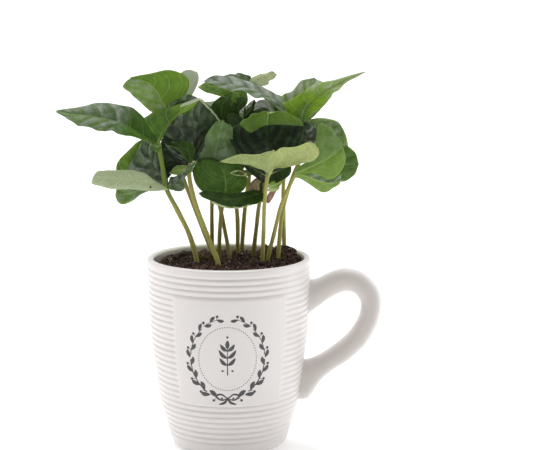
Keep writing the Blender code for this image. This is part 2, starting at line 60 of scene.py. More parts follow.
class Shade:
    """One number, colour or vector that shader nodes work out. Python's operators on it add Math nodes."""

    def __init__(self, tree, socket=None):
        self.tree, self.socket = tree, socket

    def node(self, kind, settings=None, sockets=None, out=0):
        """Adds a node of this kind, makes its settings, then fills its sockets with values or shades."""
        made = self.tree.nodes.new("ShaderNode" + kind)
        for name, setting in (settings or {}).items():
            setattr(made, name, setting)
        for name, value in (sockets or {}).items():
            self.feed(made.inputs[name], value)
        return Shade(self.tree, made.outputs[out])

    def feed(self, socket, value):
        if isinstance(value, Shade):
            self.tree.links.new(value.socket, socket)
        elif socket.type == "RGBA" and len(value) == 3:
            socket.default_value = (*value, 1)
        else:
            socket.default_value = value

    def math(self, operation, *values):
        return self.node("Math", {"operation": operation}, dict(enumerate(values)))

    def __add__(self, other):
        return self.math("ADD", self, other)

    def __radd__(self, other):
        return self.math("ADD", other, self)

    def __sub__(self, other):
        return self.math("SUBTRACT", self, other)

    def __rsub__(self, other):
        return self.math("SUBTRACT", other, self)

    def __mul__(self, other):
        return self.math("MULTIPLY", self, other)

    def __rmul__(self, other):
        return self.math("MULTIPLY", other, self)

    def __truediv__(self, other):
        return self.math("DIVIDE", self, other)

    def __abs__(self):
        return self.math("ABSOLUTE", self)

    def fraction(self):
        return self.math("FRACT", self)

    def step(self, low, high):
        """0 up to low, 1 from high on, and a smooth rise between them."""
        return self.node("MapRange", {"interpolation_type": "SMOOTHSTEP"},
                         {"Value": self, "From Min": low, "From Max": high})

    def pick(self, colour, other):
        """The first colour where this is 0, the other where it is 1, and a mix of the two between."""
        return self.node("Mix", {"data_type": "RGBA"}, {0: self, 6: colour, 7: other}, out=2)

    def place(self):
        """The place on the object, in metres."""
        return self.node("TexCoord", out="Object")

    def layer(self, name, out="Fac"):
        """What the piece's own layer of this name holds at this place."""
        return self.node("Attribute", {"attribute_name": name}, out=out)

    def noise(self, scale, detail=3.0, roughness=0.55):
        """Cloudy noise from 0 to 1 at this place, with so many clouds to the metre."""
        sockets = {"Vector": self, "Scale": scale, "Detail": detail, "Roughness": roughness}
        return self.node("TexNoise", {}, sockets)

    def streaks(self, scale, detail):
        """Noise that is stretched by its own scale along each axis."""
        return self.node("Mapping", {}, {"Vector": self, "Scale": scale}).noise(1, detail)

    def parts(self):
        """The three numbers of a vector or of a colour."""
        split = self.node("SeparateXYZ", {}, {0: self}).socket.node
        return [Shade(self.tree, socket) for socket in split.outputs]

    def bumps(self, strength, distance):
        """The normal of a surface raised by this height."""
        return self.node("Bump", {}, {"Height": self, "Strength": strength, "Distance": distance})


def new_finish(name, constants):
    """A material, with what is the same all over set on its shader's own sockets."""
    made = bpy.data.materials.new(name)
    made.use_nodes = True
    shader = made.node_tree.nodes["Principled BSDF"]
    shade = Shade(made.node_tree)
    for socket, value in constants.items():
        shade.feed(shader.inputs[socket], value)
    return made, shade, shader.inputs


def new_piece(name, points, faces, finish):
    """A smooth-shaded mesh object at the origin, from points in millimetres."""
    mesh = bpy.data.meshes.new(name)
    mesh.from_pydata((points * MM).tolist(), [], faces)
    mesh.materials.append(finish)
    mesh.shade_smooth()
    made = bpy.data.objects.new(name, mesh)
    bpy.context.scene.collection.objects.link(made)
    return made


def full_turn(count):
    """Angles once round, evenly spaced."""
    return np.linspace(0, 2 * math.pi, count, endpoint=False)


camera = bpy.data.objects.new("camera", bpy.data.cameras.new("camera"))
camera.data.sensor_width = 36
camera.data.lens = CAMERA_LENS
camera.location = CAMERA_PLACE
camera.rotation_euler = (math.radians(CAMERA_TILT), 0, math.radians(CAMERA_TURN))
bpy.context.scene.collection.objects.link(camera)
bpy.context.scene.camera = camera
bpy.context.scene.view_settings.view_transform = "Standard"

floor_finish, shade, sockets = new_finish("pale_floor", {
    "Roughness": 0.7, "Specular IOR Level": 0.2,
    "Emission Color": (1, 1, 1), "Emission Strength": FLOOR_GLOW})
shade.feed(sockets["Base Color"], shade.place().noise(2).pick(FLOOR_PALE, FLOOR_PALER))
turn = full_turn(FLOOR_CORNERS)
ring = np.stack([FLOOR_RADIUS * np.cos(turn), FLOOR_RADIUS * np.sin(turn), 0 * turn], axis=-1)
floor = new_piece("floor", ring, [tuple(range(FLOOR_CORNERS))], floor_finish)

world = bpy.data.worlds.new("studio")
bpy.context.scene.world = world
world.use_nodes = True
room = Shade(world.node_tree)
background = world.node_tree.nodes["Background"].inputs
ahead = room.node("TexCoord", out="Generated").parts()[1]
room.feed(background["Color"], (1, 1, 1))
room.feed(background["Strength"], ROOM_IN_FRONT + MORE_BEHIND * ahead.step(-0.75, 0.5))

overhead = bpy.data.objects.new("overhead", bpy.data.lights.new("overhead", "SUN"))
overhead.data.energy = OVERHEAD_POWER
overhead.data.angle = math.radians(OVERHEAD_WIDTH)
overhead.rotation_euler = (*np.radians(OVERHEAD_TILT), 0)
bpy.context.scene.collection.objects.link(overhead)
for name, (across, power) in WINDOWS.items():
    lamp = bpy.data.objects.new(name, bpy.data.lights.new(name, "AREA"))
    lamp.data.shape = "RECTANGLE"
    lamp.data.size, lamp.data.size_y = WINDOW_SIZE
    lamp.data.energy = power
    lamp.location = (across, WINDOW_BACK, WINDOW_HEIGHT)
    lamp.rotation_euler = (math.radians(WINDOW_TILT), 0, math.radians(90 if across > 0 else -90))
    lamp.visible_camera = False
    bpy.context.scene.collection.objects.link(lamp)

# The mug's body.
# Cast stoneware with a warm white glaze. Horizontal ridges run round it, and a smooth panel stands just proud
# of them in front. The glaze is duller in the grooves and painted darker there, as painted shade, and it is
# painted lighter inside the mug, as painted light. The foot ring is left bare.
# Each profile lists radii and heights: the wall, the foot from the middle out, and the inside going down.
WALL_SHAPE = [(28.5, 0), (31.6, 1.8), (33.2, 5.4), (34.4, 9), (36.2, 16), (38.5, 23), (40.9, 40), (43.1, 57),
              (44.3, 74), (45, 91), (45.2, 104)]
WALL_FROM, WALL_TO, WALL_ROWS = 5.8, 102.6, 260
FOOT = [(7.15, 0.9), (15.73, 0.9), (22.88, 0.9), (24.8, 0.9), (25.6, 0.5), (26.8, 0), (28.6, 0), (30.4, 0.45),
        (31.7, 1.7), (32.6, 3.4), (33.2, 5.2)]
INSIDE = [(41.7, 101.6), (42.2, 99.6), (42.1, 91), (41.4, 74), (40.2, 57), (38, 40), (35.6, 23), (32.2, 12),
          (29.5, 8.5), (24, 6.7), (16, 6.6), (8, 6.55)]
FOOT_MIDDLE, INSIDE_MIDDLE = 0.9, 6.5
LIP_CENTRE, LIP_RADIUS, LIP_TURNS, LIP_ROWS = (43.3, 103.15), 1.85, (-8, 190), 14
GROOVE_PITCH, TOP_GROOVE, GROOVE_DEPTH, GROOVE_SHARPNESS = 3.2, 103.4, 0.5, 2.2
PANEL_LOW, PANEL_HIGH, PANEL_RADIUS = 29.5, 89.6, 43.3
PANEL_HALF_ANGLE, PANEL_TURN = math.radians(43.5), math.radians(0.6)
PANEL_RISE, PANEL_CORNER, PANEL_EDGE = 0.35, 2.5, 0.9
MUG_COLUMNS = 288
GLAZE, GLAZE_CLOUD, GLAZE_IN_SHADE = (0.78, 0.742, 0.727), (0.755, 0.717, 0.7), (0.472, 0.416, 0.362)
GLAZE_IN_LIGHT, BARE_CLAY, SPECK = (0.92, 0.92, 0.87), (0.62, 0.56, 0.48), (0.45, 0.41, 0.35)
# The painted light and shade layer is above 0 where shade is painted into a groove, and falls to -1 inside
# the mug, where light is painted in.
GROOVE_SHADE, INSIDE_FROM, INSIDE_FULL = 0.4, 43.0, 42.0


def smooth_rise(values, low, high):
    """0 up to low, 1 from high on, and a smooth rise between them."""
    share = np.clip((values - low) / (high - low), 0, 1)
    return share * share * (3 - 2 * share)


def wall_radius(height):
    radii, heights = zip(*WALL_SHAPE)
    return np.interp(height, heights, radii)


def panel_share(angle, height):
    """1 on the panel and 0 off it: the distance to a rectangle with round corners, laid on the wall."""
    half_wide, half_high = PANEL_HALF_ANGLE * PANEL_RADIUS, (PANEL_HIGH - PANEL_LOW) / 2
    from_middle = (angle - PANEL_TURN + math.pi / 2 + math.pi) % (2 * math.pi) - math.pi
    over_x = np.abs(from_middle) * PANEL_RADIUS - half_wide + PANEL_CORNER
    over_z = np.abs(height - (PANEL_LOW + PANEL_HIGH) / 2) - half_high + PANEL_CORNER
    outside = np.hypot(np.maximum(over_x, 0), np.maximum(over_z, 0))
    outside = outside + np.minimum(np.maximum(over_x, over_z), 0)
    return 1 - smooth_rise(outside - PANEL_CORNER, -PANEL_EDGE, 0)


def outer_wall(angle, height):
    """The wall's radius, less a groove at each pitch or plus the panel's rise, and the groove's painted
    shade.
    """
    wave = 0.5 + 0.5 * np.cos(2 * math.pi * (height - TOP_GROOVE) / GROOVE_PITCH)
    groove = GROOVE_DEPTH * wave**GROOVE_SHARPNESS
    panel = panel_share(angle, height)
    radius = wall_radius(height) - groove * (1 - panel) + PANEL_RISE * panel
    return radius, GROOVE_SHADE * groove / GROOVE_DEPTH * (1 - panel)


def turned_rings(radius, height, turn):
    """Rings round the mug's axis: radius times the cosine and the sine of the turn, and the height."""
    return np.stack([radius * np.cos(turn), radius * np.sin(turn), height + 0 * turn], axis=-1)


def grid_faces(rows, columns, closed=True):
    """Four-cornered faces of a grid of points. When closed, its last column is joined to its first."""
    number = np.arange(rows * columns).reshape(rows, columns)
    if closed:
        number = np.hstack([number, number[:, :1]])
    corners = [number[:-1, :-1], number[:-1, 1:], number[1:, 1:], number[1:, :-1]]
    return np.stack(corners, axis=-1).reshape(-1, 4)


def ring_faces(rows, columns, flipped=False):
    """Faces between a body's rings, and a fan from each end ring to one of the two points after them."""
    here, beside = np.arange(columns), np.roll(np.arange(columns), -1)
    last, pole = (rows - 1) * columns, np.full(columns, rows * columns)
    fans = np.concatenate([np.stack([beside, here, pole], axis=-1),
                           np.stack([last + here, last + beside, pole + 1], axis=-1)])
    quads = grid_faces(rows, columns)
    return (quads[:, ::-1], fans[:, [1, 0, 2]]) if flipped else (quads, fans)


def new_layer(piece, name, values):
    """Values at each point of a piece for its finish to read: one, three or four numbers each."""
    kinds = {1: ("FLOAT", "value"), 3: ("FLOAT_VECTOR", "vector"), 4: ("FLOAT_COLOR", "color")}
    kind, field = kinds[values.shape[-1]]
    piece.data.attributes.new(name, kind, "POINT").data.foreach_set(field, values.ravel())


turn = full_turn(MUG_COLUMNS)
heights = np.linspace(WALL_FROM, WALL_TO, WALL_ROWS)[:, None]
radius, groove_shade = outer_wall(turn, heights)
round_lip = np.radians(np.linspace(*LIP_TURNS, LIP_ROWS))[:, None]
lip = LIP_CENTRE + LIP_RADIUS * np.concatenate([np.cos(round_lip), np.sin(round_lip)], axis=1)
inner_radius, inner_height = np.concatenate([lip, INSIDE]).T[:, :, None]
foot_radius, foot_height = np.array(FOOT).T[:, :, None]
rings = np.concatenate([turned_rings(foot_radius, foot_height, turn), turned_rings(radius, heights, turn),
                        turned_rings(inner_radius, inner_height, turn)])
inside_share = smooth_rise(-inner_radius, -INSIDE_FROM, -INSIDE_FULL) * np.ones(MUG_COLUMNS)
painted_light_and_shade = np.concatenate([np.zeros((len(FOOT), MUG_COLUMNS)), groove_shade, -inside_share])
quads, fans = ring_faces(len(rings), MUG_COLUMNS)
points = np.concatenate([rings.reshape(-1, 3), [[0, 0, FOOT_MIDDLE], [0, 0, INSIDE_MIDDLE]]])

glaze, shade, sockets = new_finish("warm_white_glaze", {
    "Metallic": 0.0, "IOR": 1.5, "Specular IOR Level": 0.5, "Coat Weight": 0.25, "Coat Roughness": 0.12})
place = shade.place()
light_and_shade = shade.layer("painted_light_and_shade")
bare = 1 - place.parts()[2].step(0.0001, 0.0006)
clouds = place.noise(45, 3)
specks = place.noise(1500, 2).step(0.68, 0.76)
tone = clouds.pick(GLAZE, GLAZE_CLOUD)
# Painted shade: the glaze is painted darker in the grooves and on the handle's flanks.
tone = (light_and_shade * 0.55).pick(tone, GLAZE_IN_SHADE)
# Painted light: the glaze is painted lighter inside the mug and along the handle's edges.
tone = (-1 * light_and_shade).pick(tone, GLAZE_IN_LIGHT)
tone = (specks * 0.12).pick(tone, SPECK)
shade.feed(sockets["Base Color"], bare.pick(tone, BARE_CLAY))
shade.feed(sockets["Roughness"], 0.32 + 0.1 * light_and_shade + 0.1 * clouds + 0.4 * bare)
ripple = place.noise(160, 2) + 0.15 * place.noise(1800, 2)
shade.feed(sockets["Normal"], ripple.bumps(0.35, 0.0004))

mug = new_piece("mug_body", points, quads.tolist() + fans.tolist(), glaze)
new_layer(mug, "painted_light_and_shade", np.append(painted_light_and_shade.ravel(), [0, 0])[:, None])
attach(mug, "root")
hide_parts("mug")

# The handle.
# A thick glazed loop of the same clay, oval in section, that spreads where it is luted on to the wall. Its
# glaze is painted lighter along its inner and outer edge and darker on its flanks: painted light and shade.
# Each row is the loop's outer and inner edge in the plane of the handle, and half its width.
HANDLE = [
    ((42.4, 92.4), (41.8, 70.6), 8.4), ((45.4, 91.6), (45.0, 72.9), 7.3), ((49, 92.3), (48.2, 75.2), 6.7),
    ((53, 94.2), (51, 77.4), 6.4), ((59, 96.8), (57.5, 82), 6.1), ((65.5, 97.8), (64.3, 84.8), 6),
    ((74, 95.6), (69, 84), 6), ((81, 89.5), (72, 81), 6), ((84.5, 82), (73.2, 77.5), 6),
    ((84.5, 73), (72.5, 72), 6), ((82, 64.5), (70, 66.5), 6), ((76.2, 54.5), (66, 60.9), 6),
    ((67.5, 46.2), (59, 54.8), 6), ((57.5, 39.6), (51.5, 49.6), 6.1), ((50.7, 33.4), (46, 47), 6.6),
    ((44.2, 24.2), (42.6, 46.2), 7.4), ((36.3, 23.4), (38.8, 46.6), 8)]
HANDLE_ROWS, HANDLE_SIDES = 110, 36
PLUMPNESS = 0.86
# How much light is painted on the edges (below 0) and shade on the flanks, and how the shade spreads round.
EDGE_LIGHT, FLANK_SHADE, FLANK_POWER = -0.4, 1.0, 1.5


def smooth_path(points, count):
    """A curve through every point: each stretch leaves and arrives along the line between its neighbours."""
    p = np.array(points, float)
    p = np.vstack([2 * p[0] - p[1], p, 2 * p[-1] - p[-2]])
    places = np.linspace(0, len(p) - 3 - 1e-9, count)
    i = places.astype(int)
    f = (places - i)[:, None]
    a, b, c, d = p[i], p[i + 1], p[i + 2], p[i + 3]
    return b + 0.5 * f * (c - a + f * (2 * a - 5 * b + 4 * c - d + f * (3 * (b - c) + d - a)))


section = smooth_path([(*outer, *inner, width) for outer, inner, width in HANDLE], HANDLE_ROWS)
outer, inner, width = section[:, 0:2], section[:, 2:4], section[:, 4:5]
turn = full_turn(HANDLE_SIDES)
lean = np.sign(np.cos(turn)) * np.abs(np.cos(turn)) ** PLUMPNESS
wide = np.sign(np.sin(turn)) * np.abs(np.sin(turn)) ** PLUMPNESS
middle, reach = (outer + inner) / 2, (outer - inner) / 2
rings = np.stack([middle[:, :1] + reach[:, :1] * lean, width * wide,
                  middle[:, 1:] + reach[:, 1:] * lean], axis=-1)
faces = grid_faces(HANDLE_ROWS, HANDLE_SIDES).tolist()
faces += [tuple(range(HANDLE_SIDES - 1, -1, -1)),
          tuple(range((HANDLE_ROWS - 1) * HANDLE_SIDES, HANDLE_ROWS * HANDLE_SIDES))]
handle = new_piece("mug_handle", rings.reshape(-1, 3), faces, glaze)
# Painted shade on the flanks and painted light along the edges, by the share of the way round the section.
flank = np.abs(np.sin(turn)) ** FLANK_POWER * np.ones((HANDLE_ROWS, 1))
new_layer(handle, "painted_light_and_shade", (EDGE_LIGHT + (FLANK_SHADE - EDGE_LIGHT) * flank).reshape(-1, 1))
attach(handle, "root")
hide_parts("mug")

# The panel's ornament.
# A plain printed wreath in dark grey under the glaze: two leafy branches with berries face each other round
# an oval of small beads, a bow ties them at the foot, and a short sprig stands in the middle.
INK_RISE, INK_DEPTH = 0.05, 0.12
WREATH_CENTRE, WREATH_HALF = np.array([-1.0, 57.0]), (20.5, 22.5)
BEAD_HALF, BEADS, BEAD_RADIUS = (15.6, 17.6), 76, 0.28
BRANCH_TURNS, BRANCH_FROM, BRANCH_SPAN = (7, 40, 75, 110, 145, 168), 16, 148
BRANCH_LEAVES, LEAF_LENGTH, LEAF_HALF, BERRY_RADIUS = 15, 5.4, 1.15, 0.72
# Each pair of the sprig's leaves: its height, and how far it reaches across and up.
SPRIG_PAIRS = [(-3.5, 4.2), (0.5, 4.6), (4.5, 3.8)]
STROKE_ROWS, STROKE_COLUMNS = 12, 5
INK_DARK, INK_WORN = (0.022, 0.021, 0.024), (0.11, 0.105, 0.11)


def unit(vectors):
    return vectors / np.linalg.norm(vectors, axis=-1, keepdims=True)


def closed_sheet(top, low):
    """Faces for two grids of the same size, back to back, with a band round their edges."""
    rows, columns = top.shape[:2]
    number = np.arange(rows * columns).reshape(rows, columns)
    under = rows * columns
    faces = grid_faces(rows, columns, closed=False)
    edge = np.concatenate([number[0, :], number[1:, -1], number[-1, -2::-1], number[-2:0:-1, 0]])
    beside = np.roll(edge, -1)
    band = np.stack([beside, edge, under + edge, under + beside], axis=-1)
    return np.concatenate([top, low]).reshape(-1, 3), np.concatenate([faces, faces[:, ::-1] + under, band])


def joined(bodies):
    """Several bodies as one: each one's faces are counted on from where its points start."""
    points, faces = zip(*bodies)
    starts = np.cumsum([0] + [len(part) for part in points[:-1]])
    faces = np.concatenate([part + start for part, start in zip(faces, starts)])
    return np.concatenate(points), faces.tolist()


def stroke(path, half_width):
    """A flat shape on the panel: centre line plus share across times half width times its square direction.

    path is a few places across and up, and half_width a function of the share of the way along it.
    """
    centre = smooth_path(path, STROKE_ROWS)
    ahead = unit(np.gradient(centre, axis=0))
    square = np.stack([ahead[:, 1], -ahead[:, 0]], axis=-1)
    wide = half_width(np.linspace(0.0, 1.0, STROKE_ROWS))[:, None, None]
    flat = centre[:, None] + np.linspace(-1, 1, STROKE_COLUMNS)[None, :, None] * wide * square[:, None]
    turn = flat[..., 0] / wall_radius(flat[..., 1]) - math.pi / 2
    return closed_sheet(*[turned_rings(wall_radius(flat[..., 1]) + PANEL_RISE + proud, flat[..., 1], turn)
                          for proud in (INK_RISE, -INK_DEPTH)])


def tapered(width, least=0.05):
    return lambda share: least + width * np.sin(math.pi * share) ** 0.8


def disc(centre, radius):
    """A round spot: a straight stroke whose half width is that of a circle."""
    reach = np.array([0, radius])
    return stroke([centre - reach, centre, centre + reach],
                  lambda share: 0.02 + radius * np.sqrt(np.clip(1 - (2 * share - 1) ** 2, 0, 1)))


def on_oval(half, degrees):
    """A place on an oval round the wreath's centre, counted in degrees from its foot."""
    turn = math.radians(degrees)
    return WREATH_CENTRE + np.array([half[0] * math.sin(turn), -half[1] * math.cos(turn)])


strokes = []
knot = on_oval(WREATH_HALF, 0)
for hand in (-1, 1):
    strokes.append(stroke([on_oval(WREATH_HALF, hand * turn) for turn in BRANCH_TURNS],
                          lambda share: 0.42 - 0.3 * share))
    for number in range(BRANCH_LEAVES):
        turn = BRANCH_FROM + BRANCH_SPAN * number / (BRANCH_LEAVES - 1)
        foot, beyond = on_oval(WREATH_HALF, hand * turn), on_oval(WREATH_HALF, hand * (turn + 3))
        ahead = (beyond - foot) / np.linalg.norm(beyond - foot)
        outward = np.array([ahead[1], -ahead[0]]) * hand * (1 if number % 2 else -1)
        size = LEAF_LENGTH * (1 - 0.3 * number / BRANCH_LEAVES)
        middle = foot + size * (0.5 * ahead + 0.3 * outward)
        end = foot + size * (0.95 * ahead + 0.42 * outward)
        strokes.append(stroke([foot, middle, end], tapered(LEAF_HALF * size / LEAF_LENGTH)))
        if number % 2 == 0:
            berry = foot - size * 0.42 * outward + size * 0.2 * ahead
            strokes.append(stroke([foot, (foot + berry) / 2, berry], lambda share: 0.12 + 0 * share))
            strokes.append(disc(berry, BERRY_RADIUS))
    loop = [knot, knot + (hand * 3.2, 2.6), knot + (hand * 6.2, 1.6), knot + (hand * 3.6, -0.6), knot]
    strokes.append(stroke(loop, lambda share: 0.3 + 0.25 * np.sin(math.pi * share)))
    strokes.append(stroke([knot, knot + (hand * 1.8, -2.2), knot + (hand * 4.6, -3.2)], tapered(0.5, 0.2)))
    for height, reach in SPRIG_PAIRS:
        foot = WREATH_CENTRE + (0, height)
        middle = foot + (hand * reach * 0.55, reach * 0.35)
        strokes.append(stroke([foot, middle, foot + (hand * reach, reach)], tapered(0.95)))
stalk, top_leaf = [[WREATH_CENTRE + (0, up) for up in heights] for heights in ((-9, 0, 6), (5.5, 8, 10.5))]
strokes += [disc(knot, 1.0), stroke(stalk, lambda share: 0.32 - 0.15 * share), stroke(top_leaf, tapered(1.1))]
strokes += [disc(WREATH_CENTRE + spot, 0.6) for spot in ((-2.6, -6.6), (2.6, -6.6), (0, 12.2))]
strokes += [disc(on_oval(BEAD_HALF, 360 * number / BEADS), BEAD_RADIUS) for number in range(BEADS)]

ink, shade, sockets = new_finish("dark_grey_ink", {
    "Metallic": 0.0, "Coat Weight": 0.3, "Coat Roughness": 0.15})
grain = shade.place().noise(2200, 3)
shade.feed(sockets["Base Color"], grain.step(0.35, 0.75).pick(INK_DARK, INK_WORN))
shade.feed(sockets["Roughness"], 0.35 + 0.2 * grain)
ornament = new_piece("mug_ornament", *joined(strokes), ink)
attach(ornament, "root")

# The potting mix.
# Dark peat and bark, heaped at the back right: a rough surface with loose crumbs, reddish fibres and a few
# pale bits on it. It fills the mug down to its floor.
SOIL_LEVEL, SOIL_RIM, SOIL_FLOOR = 100.6, 41.9, 7.0
SOIL_ROWS, SOIL_COLUMNS, SOIL_EDGE_DROP = 90, 220, 1.5
SOIL_SIDE = [(41.1, 74.3), (39.9, 57.3), (37.7, 40.3), (35.3, 23.3), (31.9, 12.3), (29.2, 8.8), (23.7, 7.0)]
HEAP = dict(height=6.0, centre=(32, 20), width=9)
# Crumbs, clods and chips: their number, sizes, flatness, kind, how far out they lie, and their lift. The
# kind is 0 for peat, about 0.5 for bark, 0.75 for a fibre and 1 for a chip.
LUMPS = [(1500, (0.45, 1.6), (0.45, 1.0), 0.3, 40.6, 0), (150, (1.6, 3.4), (0.5, 0.9), 0.1, 38.5, 0),
         (160, (0.45, 0.9), (0.4, 0.8), 1.0, 40.6, 0.6)]
LUMP_RINGS, LUMP_SIDES, LUMP_KNOCKS = 4, 7, 0.12
FIBRES, FIBRE_RINGS, FIBRE_SIDES, FIBRE_SPREAD = 160, 5, 3, 35
FIBRE_LENGTHS, FIBRE_CURL, FIBRE_THICKNESSES = (2.0, 7.0), 0.5, (0.12, 0.26)
FIBRE_LIFTS, FIBRE_KINDS = (-0.2, 1.6), (0.55, 0.8)
ROOT_CLUMP, CLUMP_FIBRES, CLUMP_SPREAD = (-12.5, 6.0), 55, 2.2
CLUMP_LIFTS, CLUMP_THICKER, CLUMP_KIND = (1.0, 2.6), 1.7, 0.82
PEAT, BARK = ((0.007, 0.005, 0.005), (0.18, 0.105, 0.08)), ((0.03, 0.014, 0.012), (0.5, 0.3, 0.23))
FIBRE, CHIP = ((0.2, 0.13, 0.07), (0.55, 0.41, 0.26)), ((0.5, 0.45, 0.38), (0.75, 0.72, 0.66))
DAMP_GLINT = (0.4, 0.3, 0.25)
chance = np.random.default_rng(11)


def waves(across, along, smallest, largest, count, seed):
    """A sum of sine waves in random directions, between two wavelengths, scaled to about -1 to 1."""
    draw = np.random.default_rng(seed)
    length = draw.uniform(smallest, largest, count)
    heading = draw.uniform(0, 2 * math.pi, count)
    phase = draw.uniform(0, 2 * math.pi, count)
    shape = (across[..., None] * np.cos(heading) + along[..., None] * np.sin(heading)) * 2 * math.pi / length
    return np.sin(shape + phase).sum(-1) / math.sqrt(count)


def soil_height(across, along):
    """Level, with a heap, lumps of three sizes and an edge that drops to the wall."""
    off = (across - HEAP["centre"][0]) ** 2 + (along - HEAP["centre"][1]) ** 2
    heap = HEAP["height"] * np.exp(-off / (2 * HEAP["width"] ** 2))
    lumps = 0.55 * waves(across, along, 9, 25, 7, 1) + 1.1 * np.abs(waves(across, along, 4, 8, 9, 2))
    grit = 0.3 * waves(across, along, 1.4, 3, 12, 3)
    edge = SOIL_EDGE_DROP * np.clip(np.hypot(across, along) / SOIL_RIM, 0, 1) ** 5
    return SOIL_LEVEL + heap + lumps + grit - edge


def scatter(number, outer):
    """Random places on the mix, evenly spread, with their heights."""
    away = np.sqrt(chance.uniform(0, 1, number)) * outer
    heading = chance.uniform(0, 2 * math.pi, number)
    across, along = away * np.cos(heading), away * np.sin(heading)
    return np.stack([across, along, soil_height(across, along)], axis=-1)


def random_turns(number):
    """Random turns in space, as one three by three array each."""
    q = chance.normal(size=(number, 4))
    w, x, y, z = (q / np.linalg.norm(q, axis=1, keepdims=True)).T
    return np.stack([
        np.stack([1 - 2 * (y * y + z * z), 2 * (x * y - z * w), 2 * (x * z + y * w)], -1),
        np.stack([2 * (x * y + z * w), 1 - 2 * (x * x + z * z), 2 * (y * z - x * w)], -1),
        np.stack([2 * (x * z - y * w), 2 * (y * z + x * w), 1 - 2 * (x * x + y * y)], -1)], -2)


mix_points, mix_faces, mix_kind = [], [], []


def add_to_mix(bodies, face_sets, kind):
    """Adds bodies that have the same faces: one row of points and one kind for each of them."""
    number, size = bodies.shape[:2]
    start = sum(len(points) for points in mix_points)
    offset = (start + np.arange(number) * size)[:, None, None]
    for faces in face_sets:
        mix_faces.extend((faces[None] + offset).reshape(-1, faces.shape[1]).tolist())
    mix_points.append(bodies.reshape(-1, 3))
    mix_kind.append(np.repeat(kind, size, axis=1).ravel())


turn = full_turn(SOIL_COLUMNS)
away = np.sqrt(np.linspace(0.0004, 1, SOIL_ROWS))[:, None] * SOIL_RIM
top = turned_rings(away, soil_height(away * np.cos(turn), away * np.sin(turn)), turn)
side_radius, side_height = np.array(SOIL_SIDE).T[:, :, None]
rings = np.concatenate([top, turned_rings(side_radius, side_height, turn)])
poles = [[0, 0, float(soil_height(np.array(0.0), np.array(0.0)))], [0, 0, SOIL_FLOOR]]
add_to_mix(np.concatenate([rings.reshape(-1, 3), poles])[None],
           ring_faces(len(rings), SOIL_COLUMNS, flipped=True), np.zeros((1, 1)))

# A lump is a ball of four rings of seven points between two poles, squeezed and knocked about at random.
height = np.cos(np.linspace(0, math.pi, LUMP_RINGS + 2)[1:-1])[:, None]
ball = turned_rings(np.sqrt(1 - height**2), height, full_turn(LUMP_SIDES)).reshape(-1, 3)
ball = np.concatenate([ball, [[0, 0, 1], [0, 0, -1]]])
for number, sizes, flatness, kind, spread, lift in LUMPS:
    size = chance.uniform(*sizes, (number, 1, 1))
    squeeze = chance.uniform(*flatness, (number, 1, 3))
    knocked = ball[None] * (1 + chance.normal(0, LUMP_KNOCKS, (number, len(ball), 1))) * squeeze * size
    spots = scatter(number, spread)
    lumps = np.einsum("nij,nkj->nki", random_turns(number), knocked) + spots[:, None]
    lumps[..., 2] += lift
    tint = 0.5 * chance.random((number, 1)) ** 2.2 - 0.25 if kind < 1 else np.zeros((number, 1))
    add_to_mix(lumps, ring_faces(LUMP_RINGS, LUMP_SIDES, flipped=True), kind + tint)

# A fibre is a thin bent tube of five rings of three points. It lies on the surface or in the root clump.
bend = np.linspace(-1, 1, FIBRE_RINGS)[None, :, None]
heading = chance.uniform(0, 2 * math.pi, (FIBRES, 1, 1))
reach = chance.uniform(*FIBRE_LENGTHS, (FIBRES, 1, 1)) / 2
curl = chance.uniform(-FIBRE_CURL, FIBRE_CURL, (FIBRES, 1, 1)) * reach
forward = np.concatenate([np.cos(heading), np.sin(heading), 0 * heading], -1)
sideways = np.concatenate([-np.sin(heading), np.cos(heading), 0 * heading], -1)
spot = scatter(FIBRES, FIBRE_SPREAD)[:, None, :2]
spot[-CLUMP_FIBRES:] = ROOT_CLUMP + chance.normal(0, CLUMP_SPREAD, (CLUMP_FIBRES, 1, 2))
spot = spot + (forward * bend * reach + sideways * curl * bend**2)[..., :2]
lift = 0.25 + chance.uniform(*FIBRE_LIFTS, (FIBRES, 1)) * np.abs(bend[..., 0])
lift[-CLUMP_FIBRES:] += chance.uniform(*CLUMP_LIFTS, (CLUMP_FIBRES, 1))
spine = np.concatenate([spot, (soil_height(spot[..., 0], spot[..., 1]) + lift)[..., None]], axis=-1)
thick = chance.uniform(*FIBRE_THICKNESSES, (FIBRES, 1, 1, 1))
thick[-CLUMP_FIBRES:] *= CLUMP_THICKER
around = np.radians([90, 210, 330])[:, None]
square = np.cos(around) * sideways[:, :, None] + np.sin(around) * np.array([0, 0, 1])
fibres = spine[:, :, None] + thick * square
fibre_kind = chance.uniform(*FIBRE_KINDS, (FIBRES, 1))
fibre_kind[-CLUMP_FIBRES:] = CLUMP_KIND
add_to_mix(fibres.reshape(FIBRES, -1, 3),
           [grid_faces(FIBRE_RINGS, FIBRE_SIDES), np.array([[2, 1, 0], [12, 13, 14]])], fibre_kind)

mix, shade, sockets = new_finish("peat_and_bark", {"Metallic": 0.0, "Specular IOR Level": 0.25})
place = shade.place()
kind = shade.layer("kind")
grain = place.noise(1000, 5, 0.75).step(0.4, 0.66)
glints = place.noise(2300, 2).step(0.62, 0.7)
patches = place.noise(220, 3)
bark = grain.pick(*BARK)
tone = (patches.step(0.45, 0.7) * 0.6).pick(grain.pick(*PEAT), bark)
tone = kind.step(0.1, 0.5).pick(tone, bark)
tone = (0.7 * glints).pick(tone, DAMP_GLINT)
tone = kind.step(0.5, 0.75).pick(tone, grain.pick(*FIBRE))
tone = kind.step(0.88, 0.95).pick(tone, grain.pick(*CHIP))
shade.feed(sockets["Base Color"], tone)
shade.feed(sockets["Roughness"], 0.8 + 0.18 * patches)
shade.feed(sockets["Normal"], (grain + 0.4 * place.noise(2500, 3)).bumps(0.9, 0.0006))
soil = new_piece("potting_mix", np.concatenate(mix_points), mix_faces, mix)
new_layer(soil, "kind", np.concatenate(mix_kind)[:, None])
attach(soil, "root")
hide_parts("soil")
